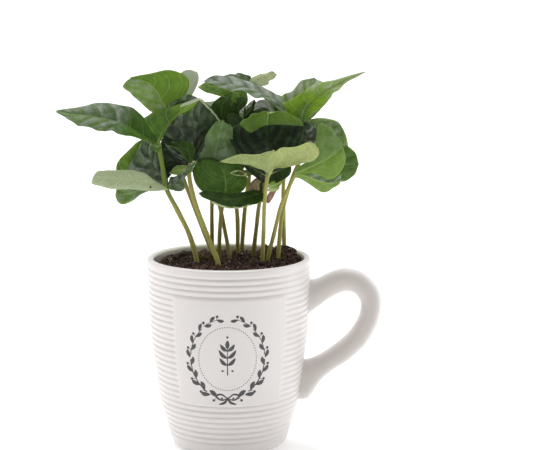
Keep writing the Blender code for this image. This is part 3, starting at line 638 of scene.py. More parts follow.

# First seedling: the far left.
# A coffee seedling is a thin woody stem with leaves in pairs, all grown as one. Its long outer leaf points
# left with a grey sheen that is a painted reflection, a bright one is folded upright, and others hang lower
# down the stem.
STEM_BOTTOM, STEM_RADIUS, STEM_SIDES = 97.0, (1.25, 1.0), 14
STEM_FLARE, STEM_SWELLING = 0.35, 0.25
BUD_HEIGHTS, BUD_RADII = [[0.6], [1.2], [1.8]], [0.95, 0.7, 0.15]
# How a plain leaf's outline swells: the power of its sine bulge, and what is added to it by the tip.
FULLNESS = {"pointed": (0.75, 0.5), "oval": (0.6, 0.25), "round": (0.5, 0.0)}
BLADE_THICK, MARGIN_THICK = 0.42, 0.16
ROW_LENGTH, MARGIN_ROW, FEWEST_ROWS, MOST_ROWS = 0.95, 1.2, 18, 56
DRAWN_COLUMNS, PLAIN_COLUMNS = 14, 9
VEIN_SPACING, VEIN_SHIFT, QUILT, EDGE_WOBBLE, RIPPLE_SHIFT = 8.5, 0.38, 0.17, 0.32, 0.27
RIB_RIDGE, RIB_RIDGE_HALF, RIB_GROOVE, RIB_GROOVE_HALF = 0.45, 0.75, 0.2, 0.55
# How a blade looks unless it says otherwise. tone is its green at base and tip, from 0 for black-green to 1
# for yellow-green: partly the leaf's own green and partly painted shade, darkest where a leaf lies in shade.
# sides, rim and lit add to it: on the left and right side, in the margin from so far out on, and above a
# height. sides and rim are partly the leaf's own colour and partly painted light, and lit is a painted lit
# band above a painted shadow's edge. lit_side lets the light reach lower, by so much a millimetre, to the
# left of a place across, and higher again to the left of another. sheen is how grey a painted reflection
# makes its left and right side, from sheen_from of its length on. crumple is how deep its random hollows are,
# fan how much its side veins bend ahead, and dry how brown it is from so far along on. wave is the height,
# count and phase of its edge's ripples.
LOOK = dict(tone=0.5, sides=(0, 0), rim=(0.1, 0.88), lit=(0, 0, 1), lit_side=(0, 0, 0, 0), sheen=0.1,
            sheen_from=0.0, crumple=0.15, fan=1.0, dry=(0, 0.9), wave=(0, 0, 0))
DEEP, MID, BRIGHT = (0.0035, 0.0095, 0.0025), (0.045, 0.115, 0.009), (0.2, 0.355, 0.02)
# Painted reflections: the grey sheen of dark and of bright leaves, and the near white of a painted glint.
SHEEN_GREY, SHEEN_BRIGHT, GLINT = (0.265, 0.3, 0.25), (0.44, 0.5, 0.35), (0.5, 0.53, 0.5)
# The last colour here is the grey sheen, a painted reflection, of a lower side.
PALE_DARK, PALE, PALE_SHEEN = (0.22, 0.32, 0.08), (0.47, 0.54, 0.17), (0.46, 0.52, 0.41)
VEIN_GREEN, PALE_VEIN = (0.33, 0.45, 0.13), (0.63, 0.68, 0.34)
RIB_GREEN, PALE_RIB = (0.38, 0.5, 0.16), (0.5, 0.57, 0.28)
# Bark colours; the dark young green is partly young bark and partly painted shade under the leaves.
STEM_GREEN, STEM_BROWN, YOUNG_GREEN_AND_SHADE = (0.46, 0.44, 0.13), (0.165, 0.115, 0.035), (0.125, 0.195, 0.035)
BLACK_SPOT, SPOT_PLACE, SPOT_RADII = (0.01, 0.008, 0.006), (-0.0427, -0.0125, 0.1454), (0.001, 0.00135)


def both(value):
    """A value for each side or end. One number stands for both where they are the same."""
    return value if isinstance(value, tuple) else (value, value)


def plain(shape, base, tip, rise, half, lift, peak=0.4, face=(0, 0, 1), turned=(0, 0.3, 1), **look):
    """A leaf given by its kind of outline and where its rib starts and ends. Most lie back in the clump.

    rise is how far the rib's middle is bowed up. half, lift and peak are for its left and right side, seen
    from above with the tip ahead: the widest half width, the angle in degrees that the side rises by, and
    where along the rib it is widest. face and turned are the way its upper side looks at the base and at
    the tip.
    """
    return dict(LOOK, shape=shape, base=base, tip=tip, rise=rise, half=half, lift=lift, peak=peak, face=face,
                turned=turned, **look)


def drawn(rib, left, right, depth, aside=(0, 0), swell=0, below=False, **look):
    """A leaf given by its outline from the front: places across and up, nearly all on half millimetres.

    rib runs from base to tip, and left and right are the margins between those two, named as one sees them
    from above with the tip ahead. depth is how far back the base and the tip lie and how far the middle
    bulges back. aside is how much further back the left and the right margin lie than the rib, and swell
    how far each side arches up out of the flat. below is true where its pale lower side shows.
    """
    return dict(LOOK, rib=rib, left=left, right=right, depth=depth, aside=aside, swell=swell, below=below,
                **look)


def bulge(shape, peak, along):
    """Half width along the rib: a sine bulge, widest at peak, drawn to a point by the shape's fullness."""
    start, more = FULLNESS[shape]
    return np.sin(math.pi * along ** (math.log(0.5) / math.log(peak))) ** (start + more * along)


def plain_surface(blade, along, across):
    """Rib + side times out + face times up, which turn with the side's lift. Gives the half widths too."""
    base, tip, bow = np.array([blade["base"], blade["tip"], (0, 0, blade["rise"])], float)
    rib = base + along * (tip - base) + 4 * along * (1 - along) * bow
    ahead = unit((tip - base) + 4 * (1 - 2 * along) * bow)
    face = np.array(blade["face"], float) * (1 - along) + np.array(blade["turned"], float) * along
    face = unit(face - (face * ahead).sum(-1, keepdims=True) * ahead)
    side = np.cross(ahead, face)
    left = across < 0
    widths = [half * bulge(blade["shape"], peak, along)
              for half, peak in zip(both(blade["half"]), both(blade["peak"]))]
    half = np.maximum(np.where(left, *widths), 0.8 - 0.4 * along)
    angle = np.radians(np.where(left, *both(blade["lift"]))) * np.minimum(along / 0.15, 1)
    fold = np.sqrt(across**2 + 0.004) - math.sqrt(0.004)
    out = across * half * np.cos(angle)
    up = fold * half * np.sin(angle)
    return rib[:, None] + side[:, None] * out[..., None] + face[:, None] * up[..., None], half


def front_curve(points, depth, back, shares):
    """A smooth curve through points of the front view, read at shares of its length, with its depth."""
    fine = smooth_path(points, 24 * len(points))
    run = np.append(0, np.cumsum(np.linalg.norm(np.diff(fine, axis=0), axis=1)))
    across, up = (np.interp(shares, run / run[-1], fine[:, i]) for i in (0, 1))
    deep = depth[0] + (depth[1] - depth[0]) * shares + 4 * shares * (1 - shares) * depth[2]
    return np.stack([across, deep + back * np.sin(math.pi * shares) ** 0.6, up], axis=-1)


def drawn_surface(blade, along, across):
    """Rib + |across| times (margin - rib), with a narrow strip beside the rib. Gives the half widths too.

    The margin's distance from the rib wavers a little, as a leaf's edge does.
    """
    shares = along[:, 0]
    rib = front_curve(blade["rib"], blade["depth"], 0, shares)
    side = unit(np.cross(np.gradient(rib, axis=0), [0, 1.0 if blade["below"] else -1.0, 0]))
    reaches = []
    for margin, back in zip(("left", "right"), blade["aside"]):
        points = [blade["rib"][0], *blade[margin], blade["rib"][-1]]
        reach = front_curve(points, blade["depth"], back, shares) - rib
        run = shares * np.linalg.norm(np.ptp(np.array(points), axis=0))
        wobble = EDGE_WOBBLE * np.sin(math.pi * shares) ** 0.5
        wobble = wobble * waves(run, 0 * run, 5, 14, 6, int(run[-1] * 9))
        reaches.append((reach * (1 + wobble / (np.linalg.norm(reach, axis=-1) + 2))[:, None])[:, None])
    reach = np.where((across < 0)[..., None], *reaches)
    strip = side[:, None] * (across * (0.6 - 0.35 * along))[..., None]
    return rib[:, None] + np.abs(across)[..., None] * reach + strip, np.linalg.norm(reach, axis=-1)


def facing(surface):
    """The direction that a surface's upper side looks in, at each of its points."""
    return unit(np.cross(np.gradient(surface, axis=1), np.gradient(surface, axis=0)))


def leaf_body(blade):
    """A leaf as a thin closed sheet, with what its finish needs at each point.

    Its middle surface is moved along its own facing by the swell of each side, the ripple of the edge, the
    quilting between side veins and random hollows. The upper and the lower side lie half the thickness from
    it, the one with a groove along the rib and the other with a ridge.
    """
    outlined = "rib" in blade
    ends = np.array([blade["rib"][0], blade["rib"][-1]] if outlined else [blade["base"], blade["tip"]], float)
    length, longest = np.linalg.norm(ends[1] - ends[0]), 0
    if outlined:
        length = max(length * 1.08, abs(blade["depth"][1] - blade["depth"][0]))
        margins = [np.array([ends[0], *blade[margin], ends[1]]) for margin in ("left", "right")]
        longest = max(np.linalg.norm(np.diff(margin, axis=0), axis=1).sum() for margin in margins)
    rows = int(np.clip(max(length / ROW_LENGTH, longest / MARGIN_ROW), FEWEST_ROWS, MOST_ROWS))
    halves = DRAWN_COLUMNS if outlined else PLAIN_COLUMNS
    along = ((1 - np.cos(np.linspace(0, math.pi, rows + 1))) / 2)[:, None]
    spread = np.linspace(-1, 1, 2 * halves + 1)[None, :]
    across = np.sign(spread) * np.abs(spread) ** 1.2
    out, left, flat = np.abs(across), across < 0, np.ones((rows + 1, 2 * halves + 1))
    middle, half = (drawn_surface if outlined else plain_surface)(blade, along, across)
    run, from_rib = along * length * flat, across * half
    seed = int(abs(ends.sum()) * 10)
    drift = waves(run, from_rib, 14, 40, 5, seed)
    veins = round(np.clip(length / VEIN_SPACING, 4, 8))
    bent = blade["fan"] * half.max() / length * (0.42 * out + 0.4 * out**2)
    phase = veins * (along - bent) + np.where(left, 0.0, VEIN_SHIFT) + 0.1 * drift * out

    inside = np.minimum(np.minimum(along / 0.2, (1 - along) / 0.12), 1)
    height, count, start = blade["wave"]
    ripple = height * out**2 * np.minimum(along / 0.2, 1) * np.sin(
        2 * math.pi * (count * along + start + RIPPLE_SHIFT * np.sign(across)))
    quilt = QUILT * min(1, length / 40) * inside * np.sin(math.pi * np.minimum(out * 1.05, 1)) ** 0.7
    hollows = waves(run, from_rib, 6, 15, 8, seed + 1) * np.minimum(along / 0.15, 1) * out**0.5
    up = ripple + quilt * (1 + 0.4 * drift) * np.cos(2 * math.pi * phase) + blade["crumple"] * hollows
    if outlined:
        swell = np.where(left, *both(blade["swell"]))
        up = up + swell * np.sin(math.pi * out) * np.sin(math.pi * along) ** 0.5
    middle = middle + facing(middle) * up[..., None]
    normal = facing(middle)
    thick = BLADE_THICK + (MARGIN_THICK - BLADE_THICK) * out**4
    sunk = RIB_GROOVE * np.exp(-((from_rib / RIB_GROOVE_HALF) ** 2)) * (1 - 0.6 * along) * inside
    raised = RIB_RIDGE * np.exp(-((from_rib / RIB_RIDGE_HALF) ** 2)) * (1 - 0.75 * along)
    points, faces = closed_sheet(middle + normal * (thick / 2 - sunk)[..., None],
                                 middle - normal * (thick / 2 + raised)[..., None])

    first, last = both(blade["tone"])
    tone = first + (last - first) * smooth_rise(along, 0.4, 0.8)
    tone = tone + np.where(left, *blade["sides"]) * smooth_rise(out, 0.02, 0.12)
    more, rim_start = blade["rim"]
    tone = tone + more * smooth_rise(out, rim_start, rim_start + 0.15)
    more, low_edge, high_edge = blade["lit"]
    slope, first, steep, second = blade["lit_side"]
    lit_height = middle[..., 2] + slope * np.maximum(first - middle[..., 0], 0) + 0.35 * drift
    lit_height = lit_height - steep * np.maximum(second - middle[..., 0], 0)
    sheen_start = blade["sheen_from"]
    # Painted reflection: how much grey sheen each side gets, from sheen_from on.
    sheen = np.where(left, *both(blade["sheen"])) * smooth_rise(along, sheen_start - 0.12, sheen_start + 0.06)
    brown, brown_from = blade["dry"]
    dry = brown * smooth_rise(along, brown_from, brown_from + 0.04) * flat
    lines = np.stack([from_rib, phase, along * flat], axis=-1)
    lit = np.stack([more * flat, (lit_height - low_edge) / (high_edge - low_edge), 0 * flat], axis=-1)
    looks = [np.stack([tone * flat, sheen * flat, under * flat, dry], axis=-1) for under in (0, 1)]
    return (points, faces, np.concatenate([lines, lines]).reshape(-1, 3),
            np.concatenate(looks).reshape(-1, 4), np.concatenate([lit, lit]).reshape(-1, 3))


def stem_body(points, wood, stout, young):
    """A stem up to its topmost pair of leaves, slightly swollen there, with a small bud on its end.

    It is a round tube: rings of points square to its path. young is the share of the way up from which its
    bark turns a dark young green, and how far: partly young bark and partly painted shade under the leaves.
    """
    foot = np.array([[points[0][0], points[0][1], STEM_BOTTOM]])
    path = smooth_path(np.vstack([foot, points]), 9 * len(points))
    path = np.vstack([path, path[-1] + unit(path[-1] - path[-2]) * np.array(BUD_HEIGHTS)])
    share = np.linspace(0, 1, len(path))
    radius = stout * np.interp(share, [0, 1], STEM_RADIUS) * (1 + 0.05 * np.sin(share * 31))
    radius = radius + STEM_SWELLING * np.exp(-((share - 0.93) / 0.03) ** 2)
    radius = radius + STEM_FLARE * np.exp(-(share / 0.08) ** 2)
    radius[-3:] = BUD_RADII
    ahead = unit(np.gradient(path, axis=0))
    right = unit(np.cross(ahead, [0.0, 1.0, 0.0]))
    front = np.cross(right, ahead)
    turn = full_turn(STEM_SIDES)[None, :, None]
    square = np.cos(turn) * right[:, None] + np.sin(turn) * front[:, None]
    rings = path[:, None] + radius[:, None, None] * square
    points = np.concatenate([rings.reshape(-1, 3), path[:1], path[-1:]])
    quads, fans = ring_faces(len(path), STEM_SIDES, flipped=True)
    heights = np.append(np.repeat(share, STEM_SIDES), [0, 1])
    lines = np.stack([points[:, 0], points[:, 1], heights], axis=-1)
    fresh = young[1] * smooth_rise(heights, young[0], young[0] + 0.25)
    looks = np.stack([np.full(len(points), wood), fresh, 0 * heights, np.ones(len(points))], axis=-1)
    return points, quads, fans, lines, looks


green, shade, sockets = new_finish("coffee_leaf", {"Metallic": 0.0, "IOR": 1.45, "Specular IOR Level": 0.16})
place = shade.place()
from_rib, phase, along = shade.layer("lines", "Vector").parts()
tint, sheen_and_young, under = shade.layer("looks", "Color").parts()
wood = shade.layer("looks", "Alpha")
gain, lit_share, _ = shade.layer("lit", "Vector").parts()
tint = tint + gain * lit_share.step(0, 1)
rib_line = 1 - (abs(from_rib) / (1.1 - 0.75 * along)).step(0.2, 0.75)
between = abs((phase + 0.5).fraction() - 0.5) * 2
side_line = between.step(0.86, 0.97)
quilted = 1 - between
cells = shade.node("TexVoronoi", {"feature": "DISTANCE_TO_EDGE"}, {"Vector": place, "Scale": 620})
net = 1 - cells.step(0.0, 0.14)
mottle = place.noise(140, 3)
# Painted shade as well as bumps: this noise raises the leaf's crumples and paints the colour darker in their
# hollows, on both sides.
crumples_and_shade = place.noise(240, 4, 0.6)
level = tint + 0.3 * (mottle - 0.5) + 0.1 * (quilted - 0.5) + 0.3 * (crumples_and_shade - 0.5)
body = (2 * level).pick(DEEP, MID)
body = (2 * level - 1).pick(body, BRIGHT)
patchy = place.noise(95, 3).step(0.35, 0.6)
towards_tip = (phase + 0.5).fraction().step(0.1, 0.85)
panels = 1 - 0.7 * sheen_and_young.step(0.3, 0.6) * (1 - towards_tip)
soft = (0.25 + 0.75 * quilted.step(0.03, 0.2)) * (0.6 + 0.4 * patchy) * panels
crisp = 0.2 + 0.8 * quilted.step(0.3, 0.85) * place.noise(210, 2).step(0.38, 0.68)
fresh = tint.step(0.04, 0.2)
# Painted reflection: a grey sheen laid into the colour, soft on bright leaves and in crisp streaks between
# the veins on dark ones, brighter on the crumples' tops.
painted_sheen = sheen_and_young * (fresh * soft + (1 - fresh) * crisp) * (0.6 + 0.8 * crumples_and_shade.step(0.42, 0.6))
upper = painted_sheen.pick(body, tint.step(0.6, 0.95).pick(SHEEN_GREY, SHEEN_BRIGHT))
# Painted highlight: near-white glints between the veins where the sheen is above 1.
upper = ((0.5 * sheen_and_young - 0.5) * (0.3 + 0.7 * quilted.step(0.2, 0.7))).pick(upper, GLINT)
upper = (side_line * (0.01 + 0.8 * tint * tint)).pick(upper, VEIN_GREEN)
upper = (rib_line * (0.03 + tint * tint)).pick(upper, RIB_GREEN)
upper = (net * (0.004 + 0.09 * tint)).pick(upper, VEIN_GREEN)
lower = (0.4 * mottle + 0.35 * quilted + 0.7 * (tint - 0.5) + 1.4 * (crumples_and_shade - 0.5)).pick(PALE_DARK, PALE)
lower = (0.35 * net + 0.65 * side_line).pick(lower, PALE_VEIN)
# Painted reflection on the lower side: it turns grey where the sheen is.
lower = (0.85 * sheen_and_young).pick(lower, PALE_SHEEN)
lower = (0.7 * rib_line).pick(lower, PALE_RIB)
streaks = place.streaks((1600, 1600, 90), 3)
bark = (1 - tint + 0.35 * (streaks - 0.5)).pick(STEM_GREEN, STEM_BROWN)
# Partly painted shade: the stem's top turns a dark young green.
bark = sheen_and_young.pick(bark, YOUNG_GREEN_AND_SHADE)
from_spot = shade.node("VectorMath", {"operation": "DISTANCE"}, {0: place, 1: SPOT_PLACE}, out=1)
spot = 1 - from_spot.step(*SPOT_RADII)
shade.feed(sockets["Base Color"], spot.pick(wood.pick(under.pick(upper, lower), bark), BLACK_SPOT))
shade.feed(sockets["Roughness"], 0.27 + 0.14 * mottle + 0.25 * under + 0.2 * wood)
relief = 0.25 * net - 0.6 * side_line + 0.3 * streaks * wood + 5 * crumples_and_shade * (1 - wood)
shade.feed(sockets["Normal"], relief.bumps(0.6, 0.0004))


def grow_seedling(name, stem, wood, blades, stout=1.0, young=(0.7, 0.3)):
    """One seedling as one mesh: its stem and its leaves, each a closed body that is rooted in the stem."""
    points, quads, fans, lines, looks = stem_body(stem, wood, stout, young)
    bodies = [(points, quads, lines, looks, 0 * points)] + [leaf_body(blade) for blade in blades]
    points, quads = joined([body[:2] for body in bodies])
    made = new_piece(name, points, quads + fans.tolist(), green)
    for layer, values in zip(("lines", "looks", "lit"), list(zip(*bodies))[2:]):
        new_layer(made, layer, np.concatenate(values))
    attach(made, "root")
    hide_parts(name.replace("plant", "seedling"))


grow_seedling("plant_01",
              [(-18, 0, 104), (-22, -1, 118), (-28, -3, 131), (-34, -6, 144), (-36, -7, 157),
              (-38, -8, 169)], wood=0.85, stout=1.18, young=(0.42, 0.9), blades=[
    drawn([(-38, 168), (-44, 171.5), (-49.5, 175.5), (-57, 180), (-65.5, 182.5), (-74.5, 184.5),
          (-84.5, 185.5), (-91.5, 187)],
          left=[(-46, 171.5), (-51.5, 174), (-57.5, 175), (-61.5, 177), (-66, 176.5), (-70, 178),
          (-74.5, 179.5), (-79, 179.5), (-82.5, 181.5), (-88, 185.5)],
          right=[(-42, 175), (-46, 181.5), (-49, 185), (-52, 187.5), (-56, 189), (-65, 190), (-72.5, 190),
          (-79, 189), (-86.5, 187.5)], depth=(-8, -18, -2), aside=(-6, 7), swell=(1.2, 1),
          wave=(0.5, 3, 0.1), tone=(0.42, 0.55), sheen=(0.75, 0.95), sheen_from=0.42, sides=(0.08, -0.03)),
    drawn([(-38, 169), (-35.5, 175), (-31, 181), (-24, 186.5), (-15, 192)],
          left=[(-40, 171.5), (-43, 175.5), (-46.5, 180), (-42.5, 183), (-39, 185.5), (-33, 186.5),
          (-25, 188.5)],
          right=[(-36.5, 171), (-34.5, 175.5), (-31.5, 180), (-27, 184), (-22.5, 186), (-17.5, 189.5)],
          depth=(-8, 2, 0), aside=(5, -2), swell=(1.5, 0.4), tone=(0.56, 0.8), sheen=(0.05, 0),
          rim=(0.08, 0.7)),
    drawn([(-26, 187.5), (-21.5, 189), (-15, 192)], left=[(-23.5, 187.5), (-18.5, 190)],
          right=[(-25, 188.5), (-21, 190.5), (-17, 192)], depth=(0, 1, 0), below=True, tone=1.2, sheen=1.2),
    drawn([(-36.5, 168), (-38.5, 167), (-41.5, 168.5)], left=[(-37, 165), (-38.5, 164.5), (-41, 167)],
          right=[(-38, 169), (-40, 168.5)], depth=(-8.5, -12, 0), aside=(-1, 1), tone=(0.55, 0.5)),
    drawn([(-34, 144), (-37, 150), (-41.5, 156.5), (-44.5, 163), (-45, 169)],
          left=[(-39, 143.5), (-47, 147), (-54, 151), (-55, 154), (-52, 158.5), (-49.5, 163.5),
          (-47.5, 167.5)], right=[(-33.5, 147.5), (-35, 153.5), (-37, 160), (-39.5, 165), (-42.5, 168.5)],
          depth=(-6, 8, 3), aside=(1, 2), swell=(1, 0.8), crumple=0.7, tone=(0.14, 0.18),
          sheen=(0.75, 0.65)),
    drawn([(-34, 144), (-44.5, 148), (-51, 155.5), (-47.5, 168.5)],
          left=[(-43, 143), (-53.5, 145), (-60.5, 148.5), (-61.5, 153.5), (-60, 157.5), (-56, 161.5),
          (-51, 166.5)], right=[(-39, 151), (-43.5, 157), (-46, 163.5)], depth=(-6, 14, 4), aside=(-2, 3),
          swell=(0.8, 0), crumple=0.35, tone=0.6, sides=(0.08, -0.35)),
    drawn([(-33, 143.5), (-39, 145.5), (-46, 148.5), (-55.5, 150.5), (-64.5, 151.5), (-72.5, 151)],
          left=[(-40.5, 148), (-45, 152), (-50.5, 154), (-59, 155), (-66, 155), (-69.5, 155), (-71.5, 153)],
          right=[(-40.5, 143.5), (-46.5, 144.5), (-53, 145.5), (-60.5, 146), (-65, 147), (-72.5, 149)],
          depth=(-6, -24, -2), aside=(3, -2), swell=-0.8, below=True, crumple=0.25, sheen=0.6),
    drawn([(-35, 143.5), (-47, 142.5), (-54.5, 140.5), (-62, 139)],
          left=[(-43, 143), (-47, 141), (-51.5, 138), (-57, 135), (-60.5, 136)],
          right=[(-44.5, 144.5), (-53.5, 145.5), (-61, 143)], depth=(-6, 0, -1), aside=(-2, 3), crumple=0.3,
          tone=(0.5, 0.66), sheen=(0.35, 0.5), rim=(0.15, 0.7)),
    drawn([(-33.5, 144), (-30, 146), (-27, 148.5), (-22.5, 154.5), (-17, 159)],
          left=[(-32.5, 147), (-31.5, 150), (-28, 150), (-24.5, 152.5), (-21, 157)],
          right=[(-31, 143.5), (-26.5, 143), (-24, 145.5), (-24, 149.5), (-21, 154.5)], depth=(-6, -8, -2),
          aside=(1, -2), tone=(0.12, 0.22), sides=(0, 0.25), sheen=(1, 0.6), crumple=0.8, rim=(0.1, 0.8)),
])

# Second seedling: left of the middle.
# The thickest stem in front. Its main leaf stands upright, painted nearly black as shade, with grey painted
# reflections between the veins, and a small one curls over it in front of a dark hollow: a leaf there is
# painted black as the hollow's shade.
grow_seedling("plant_02",
              [(-6, -12, 104), (-8.5, -9, 110), (-13.5, -6, 122), (-19, -3, 137.5), (-21.5, 0, 150),
              (-20.5, 2, 158)], wood=0.85, stout=1.2, blades=[
    drawn([(-21, 157), (-19.5, 163), (-18.5, 170), (-16.5, 178), (-14.5, 190.5)],
          left=[(-24.5, 158), (-31, 162.5), (-35, 168), (-35.5, 173.5), (-33, 179.5), (-28, 183.5),
          (-21, 187.5)],
          right=[(-17.5, 159), (-14, 164.5), (-12, 169), (-8.5, 174), (-5, 178.5), (-7.5, 183.5),
          (-11, 187.5)], depth=(2, 14, 0), aside=(-5, 3), swell=(0.8, 1), crumple=0.5, fan=1.4,
          tone=(0.04, 0.2), sheen=(0.7, 0.22), rim=(0.15, 0.9)),
    # A rolled margin of the main leaf, pale grey as a painted highlight along its edge.
    drawn([(-15, 190.5), (-11.5, 187), (-8, 183.5), (-4.5, 179)], left=[(-11.5, 187), (-8, 183.5)],
          right=[(-11.5, 187), (-8, 183.5)], depth=(11, 6, 0), below=True, sheen=0.8),
    drawn([(-21, 157), (-21.5, 162.5), (-24.5, 166), (-34, 167.5)],
          left=[(-22, 158.5), (-24, 162), (-26.5, 165), (-30, 167)],
          right=[(-19.5, 160.5), (-18.5, 164.5), (-20, 167.5), (-24, 169), (-29, 168.5)],
          depth=(-0.5, -6, -2), aside=(-3, 1.5), tone=(0.22, 0.2), rim=(0.12, 0.75), sheen=0),
    # Painted shade: a near-black leaf that stands for the dark hollow.
    drawn([(-21.5, 155.5), (-26, 157), (-31.5, 158), (-37, 158.5)],
          left=[(-23.5, 155.5), (-26.5, 153), (-30.5, 151), (-34, 147.5), (-37, 152)],
          right=[(-20.5, 158.5), (-22.5, 161), (-26, 166), (-31, 170), (-36.5, 169.5)], depth=(1, 1, 3),
          aside=(3, -2.5), tone=(0, 0.02), sheen=(0.05, 0.12), crumple=0.4),
    drawn([(-21, 153.5), (-26.5, 152.5), (-34, 151.5)], left=[(-23, 150.5), (-28, 150), (-33, 150.5)],
          right=[(-23.5, 155.5), (-28, 156.5), (-33, 154.5)], depth=(1, 7, 0), aside=(0, 1), tone=0.95,
          sheen=0.3),
    plain("oval", (-20.5, 2.5, 157.5), (-22, 38, 168), 3, (10, 11), 10, peak=0.6, tone=0.45),
])

# Third seedling: the tall one at the back left.
# Its broad top leaf is bright on one side and, on the other, paler from a painted sheen, with raised veins,
# and a pale one behind it shows its underside.
grow_seedling("plant_03",
              [(-8.5, 6, 104), (-14, 6, 118), (-19.5, 6, 133), (-24.5, 8, 146), (-29.5, 12, 163),
              (-33, 10, 184.5)], wood=0.5, blades=[
    drawn([(-32.5, 184), (-29.5, 188.5), (-24, 190.5), (-15.5, 190.5)],
          left=[(-32.5, 187.5), (-31, 190.5), (-28, 193), (-22, 193.5), (-18, 192)],
          right=[(-31, 183), (-25.5, 183), (-19.5, 186)], depth=(8.5, 12, -1), aside=(0, -2), fan=0.3,
          crumple=0.5, tone=(0.2, 0.24), sides=(0.1, 0), sheen=(0.7, 0.12), rim=(0.35, 0.8)),
    drawn([(-33.5, 184.5), (-36.5, 190.5), (-39, 195.5), (-43, 200), (-48, 202.5), (-53, 203.5)],
          left=[(-41, 184.5), (-45, 187.5), (-49, 191.5), (-53, 195.5), (-56, 197.5), (-57, 199.5),
          (-55, 202)],
          right=[(-32, 188.5), (-28.5, 191.5), (-24, 193), (-22, 198), (-22.5, 203), (-27, 206), (-34, 207),
          (-42, 205.5), (-48.5, 204.5)], depth=(10, -2, 0), aside=(-2, 2), swell=(0.8, 1.2),
          tone=(0.7, 0.68), sides=(0.06, 0), sheen=(0.6, 0.02)),
    drawn([(-33, 185), (-26, 193), (-21.5, 199.5), (-19.5, 206)],
          left=[(-26.5, 189), (-21, 192.5), (-18, 197), (-16.5, 201.5), (-17, 205)],
          right=[(-34, 191.5), (-30, 198.5), (-25.5, 205), (-22, 206.5)], depth=(13, 22, 0), aside=(1, 0),
          below=True, tone=0.9, sheen=1.1),
    plain("pointed", (-33, 10, 184), (-49, 42, 186), 4, 11, 15, sheen=0.2),
])

# Fourth seedling: behind the middle.
# A slim brown stem that carries one grey-green upright leaf with slanting veins and one that lies back.
grow_seedling("plant_04", [(-9.5, 33, 104), (-9.5, 25, 128), (-8.5, 13, 146)], wood=0.3, blades=[
    drawn([(-8.5, 145.5), (-8, 152), (-7.5, 160), (-5.5, 169.5), (-3, 180)],
          left=[(-13, 147.5), (-18, 153), (-18.5, 157), (-16, 161), (-13, 165.5), (-12.5, 169.5),
          (-10.5, 174), (-7, 179)],
          right=[(-2, 147), (5.5, 150.5), (8.5, 155.5), (6, 161), (3, 167), (2, 173.5), (1.5, 177.5)],
          depth=(13, -4, -1), aside=(1, 3), swell=(0.8, 1), crumple=0.9, tone=(0.26, 0.5), sides=(0.1, 0.02),
          sheen=(0.38, 0.36), sheen_from=0.4),
    plain("round", (-8.5, 13, 145.5), (-33, 36, 148), 3, (10, 9), 10, peak=0.55, tone=0.4),
])

# Fifth seedling: a single round leaf in front.
# The youngest: one round, flat leaf with yellowish veins that spread from its foot.
grow_seedling("plant_05", [(-5.5, 12, 104), (-4.5, 8, 125), (-2, 1.5, 139)], wood=0.4, blades=[
    drawn([(-2, 139.5), (-1.5, 145), (-2.5, 151), (-6, 157)],
          left=[(-7.5, 139.5), (-13, 140.5), (-17, 144), (-19, 149.5), (-19, 154), (-16, 157.5), (-11, 159)],
          right=[(2.5, 139.5), (6.5, 140.5), (8.5, 143), (9.5, 148), (7.5, 153.5), (1.5, 157)],
          depth=(0.8, 3.5, 0), aside=(0.5, 0.5), swell=0.6, fan=0.7, tone=(0.5, 0.46), sheen=0.04),
])

# Sixth seedling: in the shade of the middle.
# A crooked brown stem with dark leaves, one edge on and one deep inside the clump, where a leaf that faces
# the front is painted near black as the clump's shade.
grow_seedling("plant_06",
              [(0.5, 6, 104), (-0.5, 9.5, 109), (-5, 21, 130), (-9, 26, 147), (-4, 27, 169),
              (-2.5, 26, 178)], wood=0.3, blades=[
    drawn([(-3, 178), (-3.5, 187), (2.5, 194.5)],
          left=[(-8, 181), (-9.5, 184.5), (-7, 189), (-3.5, 192), (0, 193.5)], right=[(1, 181.5), (1, 189)],
          depth=(25, 14, 0), aside=(-1, 1), tone=(0.27, 0.31), sheen=0.05),
    drawn([(-2.5, 178), (1.5, 186), (5, 192.5)], left=[(-3.5, 184), (-1, 188.5), (1.5, 192)],
          right=[(4, 181.5), (6.5, 188)], depth=(26, 22, 0), tone=(0.36, 0.5), sheen=(0.4, 0.3)),
    drawn([(-3.5, 171), (2.5, 176), (10, 179)], left=[(-4.5, 175), (-2.5, 180), (2.5, 181.5), (7, 181)],
          right=[(4.5, 170), (8.5, 173)], depth=(26, 22, 0), aside=(1, -1), tone=0.04, rim=(0.3, 0.9)),
    # Painted shade: a near-black leaf that faces the front deep in the clump.
    plain("round", (-4, 27, 168), (9, 33, 186), 0, 8, 5, face=(0.2, -0.9, 0.2), turned=(0.2, -0.9, 0.2),
          tone=0.06),
    plain("pointed", (-2.5, 26.5, 177), (-18, 54, 184), 5, (10, 9), 15, tone=0.45, sheen=0.2),
])
